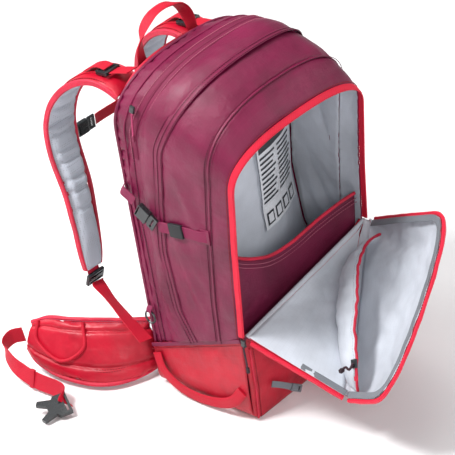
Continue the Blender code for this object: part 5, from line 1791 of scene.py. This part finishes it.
def compression(side, name):
    out = side * (BASE_HALF_W + 0.0078)
    rear = np.array([(side * 0.1430, 0.0985, 0.3510), (out, 0.0945, 0.3480), (out, 0.0840, 0.3415),
                     (out, 0.0740, 0.3345)])
    strap = sweep(f"compression_{name}_rear", rear, lying_flat(rear, (side, 0, 0)),
                  flat_profile(0.018, WEBBING_THICK),
                  SIDE_WEBBING, 0.003)
    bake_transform(strap)
    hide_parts(f"compression_webbing_rear_{name}")
    front = np.array([(out, 0.0315, 0.3055), (out, 0.0100, 0.3085), (out, -0.0200, 0.3120),
                      (out, -0.0480, 0.3140),
                      (side * (BASE_HALF_W + 0.0040), -0.0640, 0.3145)])
    strap = sweep(f"compression_{name}_front", front, lying_flat(front, (side, 0, 0)),
                  flat_profile(0.018, WEBBING_THICK),
                  SIDE_WEBBING, 0.003)
    on(strap, "pack", f"compression_webbing_front_{name}", slot="red_webbing")
    keeper = hard_block(f"compression_{name}_keeper", (out + side * 0.0012, -0.0050, 0.3103),
                        (0, 1, -0.12), (side, 0, 0),
                        (0.0260, 0.0220, 0.0052), BLACK_WEBBING, 0.0016)
    on(keeper, "pack", slot="black_acetal")
    patch = sweep(f"compression_{name}_patch", [(side * (BASE_HALF_W + 0.0046), y,
                                                 0.3145) for y in (-0.045, -0.056, -0.066)],
                  (0, 0, 1), flat_profile(0.0250, 0.0022, 0.5), SHELL, 0.003)
    on(patch, "pack", slot="shell_nylon")
    for half in ("socket", "tongue"):
        repaint(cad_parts[f"compression_buckle_{name}_{half}"], PLASTIC)


def tail_loop(side, name):
    out = side * (BASE_HALF_W + 0.0068)
    near = side * (BASE_HALF_W + 0.0040)
    loop = [
        (near, 0.084, 0.0640), (out, 0.074, 0.0400), (out, 0.048, 0.0190), (out, 0.010, 0.0120),
        (out, -0.035, 0.0180), (out, -0.066, 0.0330), (near, -0.084, 0.0550),
    ]
    strap = sweep(f"tail_loop_{name}_webbing", loop, lying_flat(loop, (side, 0, 0)),
                  flat_profile(0.0180, 0.0030, 0.5),
                  WEBBING, 0.003, wobble=0.0004)
    on(strap, "pack", f"ski_tail_loop_{name}", slot="red_webbing")
    repaint(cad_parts[f"side_ring_{name}"], PLASTIC)
    tab = [(side * 0.1452, 0.083, 0.1480), (side * 0.1490, 0.083, 0.1450), (side * 0.1505, 0.083, 0.1405),
           (side * 0.1488, 0.083, 0.1370)]
    strap = sweep(f"ring_tab_{name}", tab, (0, 1, 0), flat_profile(0.010, 0.0010), SIDE_WEBBING, 0.002)
    on(strap, "pack", slot="red_webbing")


def pulls():
    for name, at, drop, colour in (
        ("main", (-0.1480, 0.0510, 0.4830), (-0.001, 0.004, -0.042), CORD),
        ("front", (-0.1515, -0.1045, 0.1440), (-0.001, -0.004, -0.040), DARK_CORD),
    ):
        repaint(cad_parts[f"{name}_zip_slider"], PLASTIC)
        path = [np.array(at) + np.array(drop) * t for t in (0.0, 0.35, 0.7, 0.92)]
        cord = sweep(f"{name}_pull_cord", path, (0, 1, 0), round_profile(0.0015, 8), colour, 0.002)
        on(cord, f"{name}_pull", f"{name}_zip_pull", slot="pull_cord")
        end = np.array(at) + np.array(drop) * 0.94
        grip = hard_block(f"{name}_pull_grip", end, (0, 0, 1), (-1, 0, 0), (0.010, 0.0050, 0.0040), colour,
                          0.0014)
        on(grip, f"{name}_pull", slot="pull_cord")


place_camera()
set_stage()
build_bag()
main_seams()
main_zip()
inside_wall()
label()
tool_pocket()
front_zip()
base()
flap()
for side, name in ((-1, "left"), (1, "right")):
    shoulder_strap(side, name)
    ladder_lock(side, name)
    load_lifter(side, name)
    hip_wing(side, name)
    belt(side, name)
    compression(side, name)
    tail_loop(side, name)
haul_loop()
sternum_strap()
back_system()
pulls()
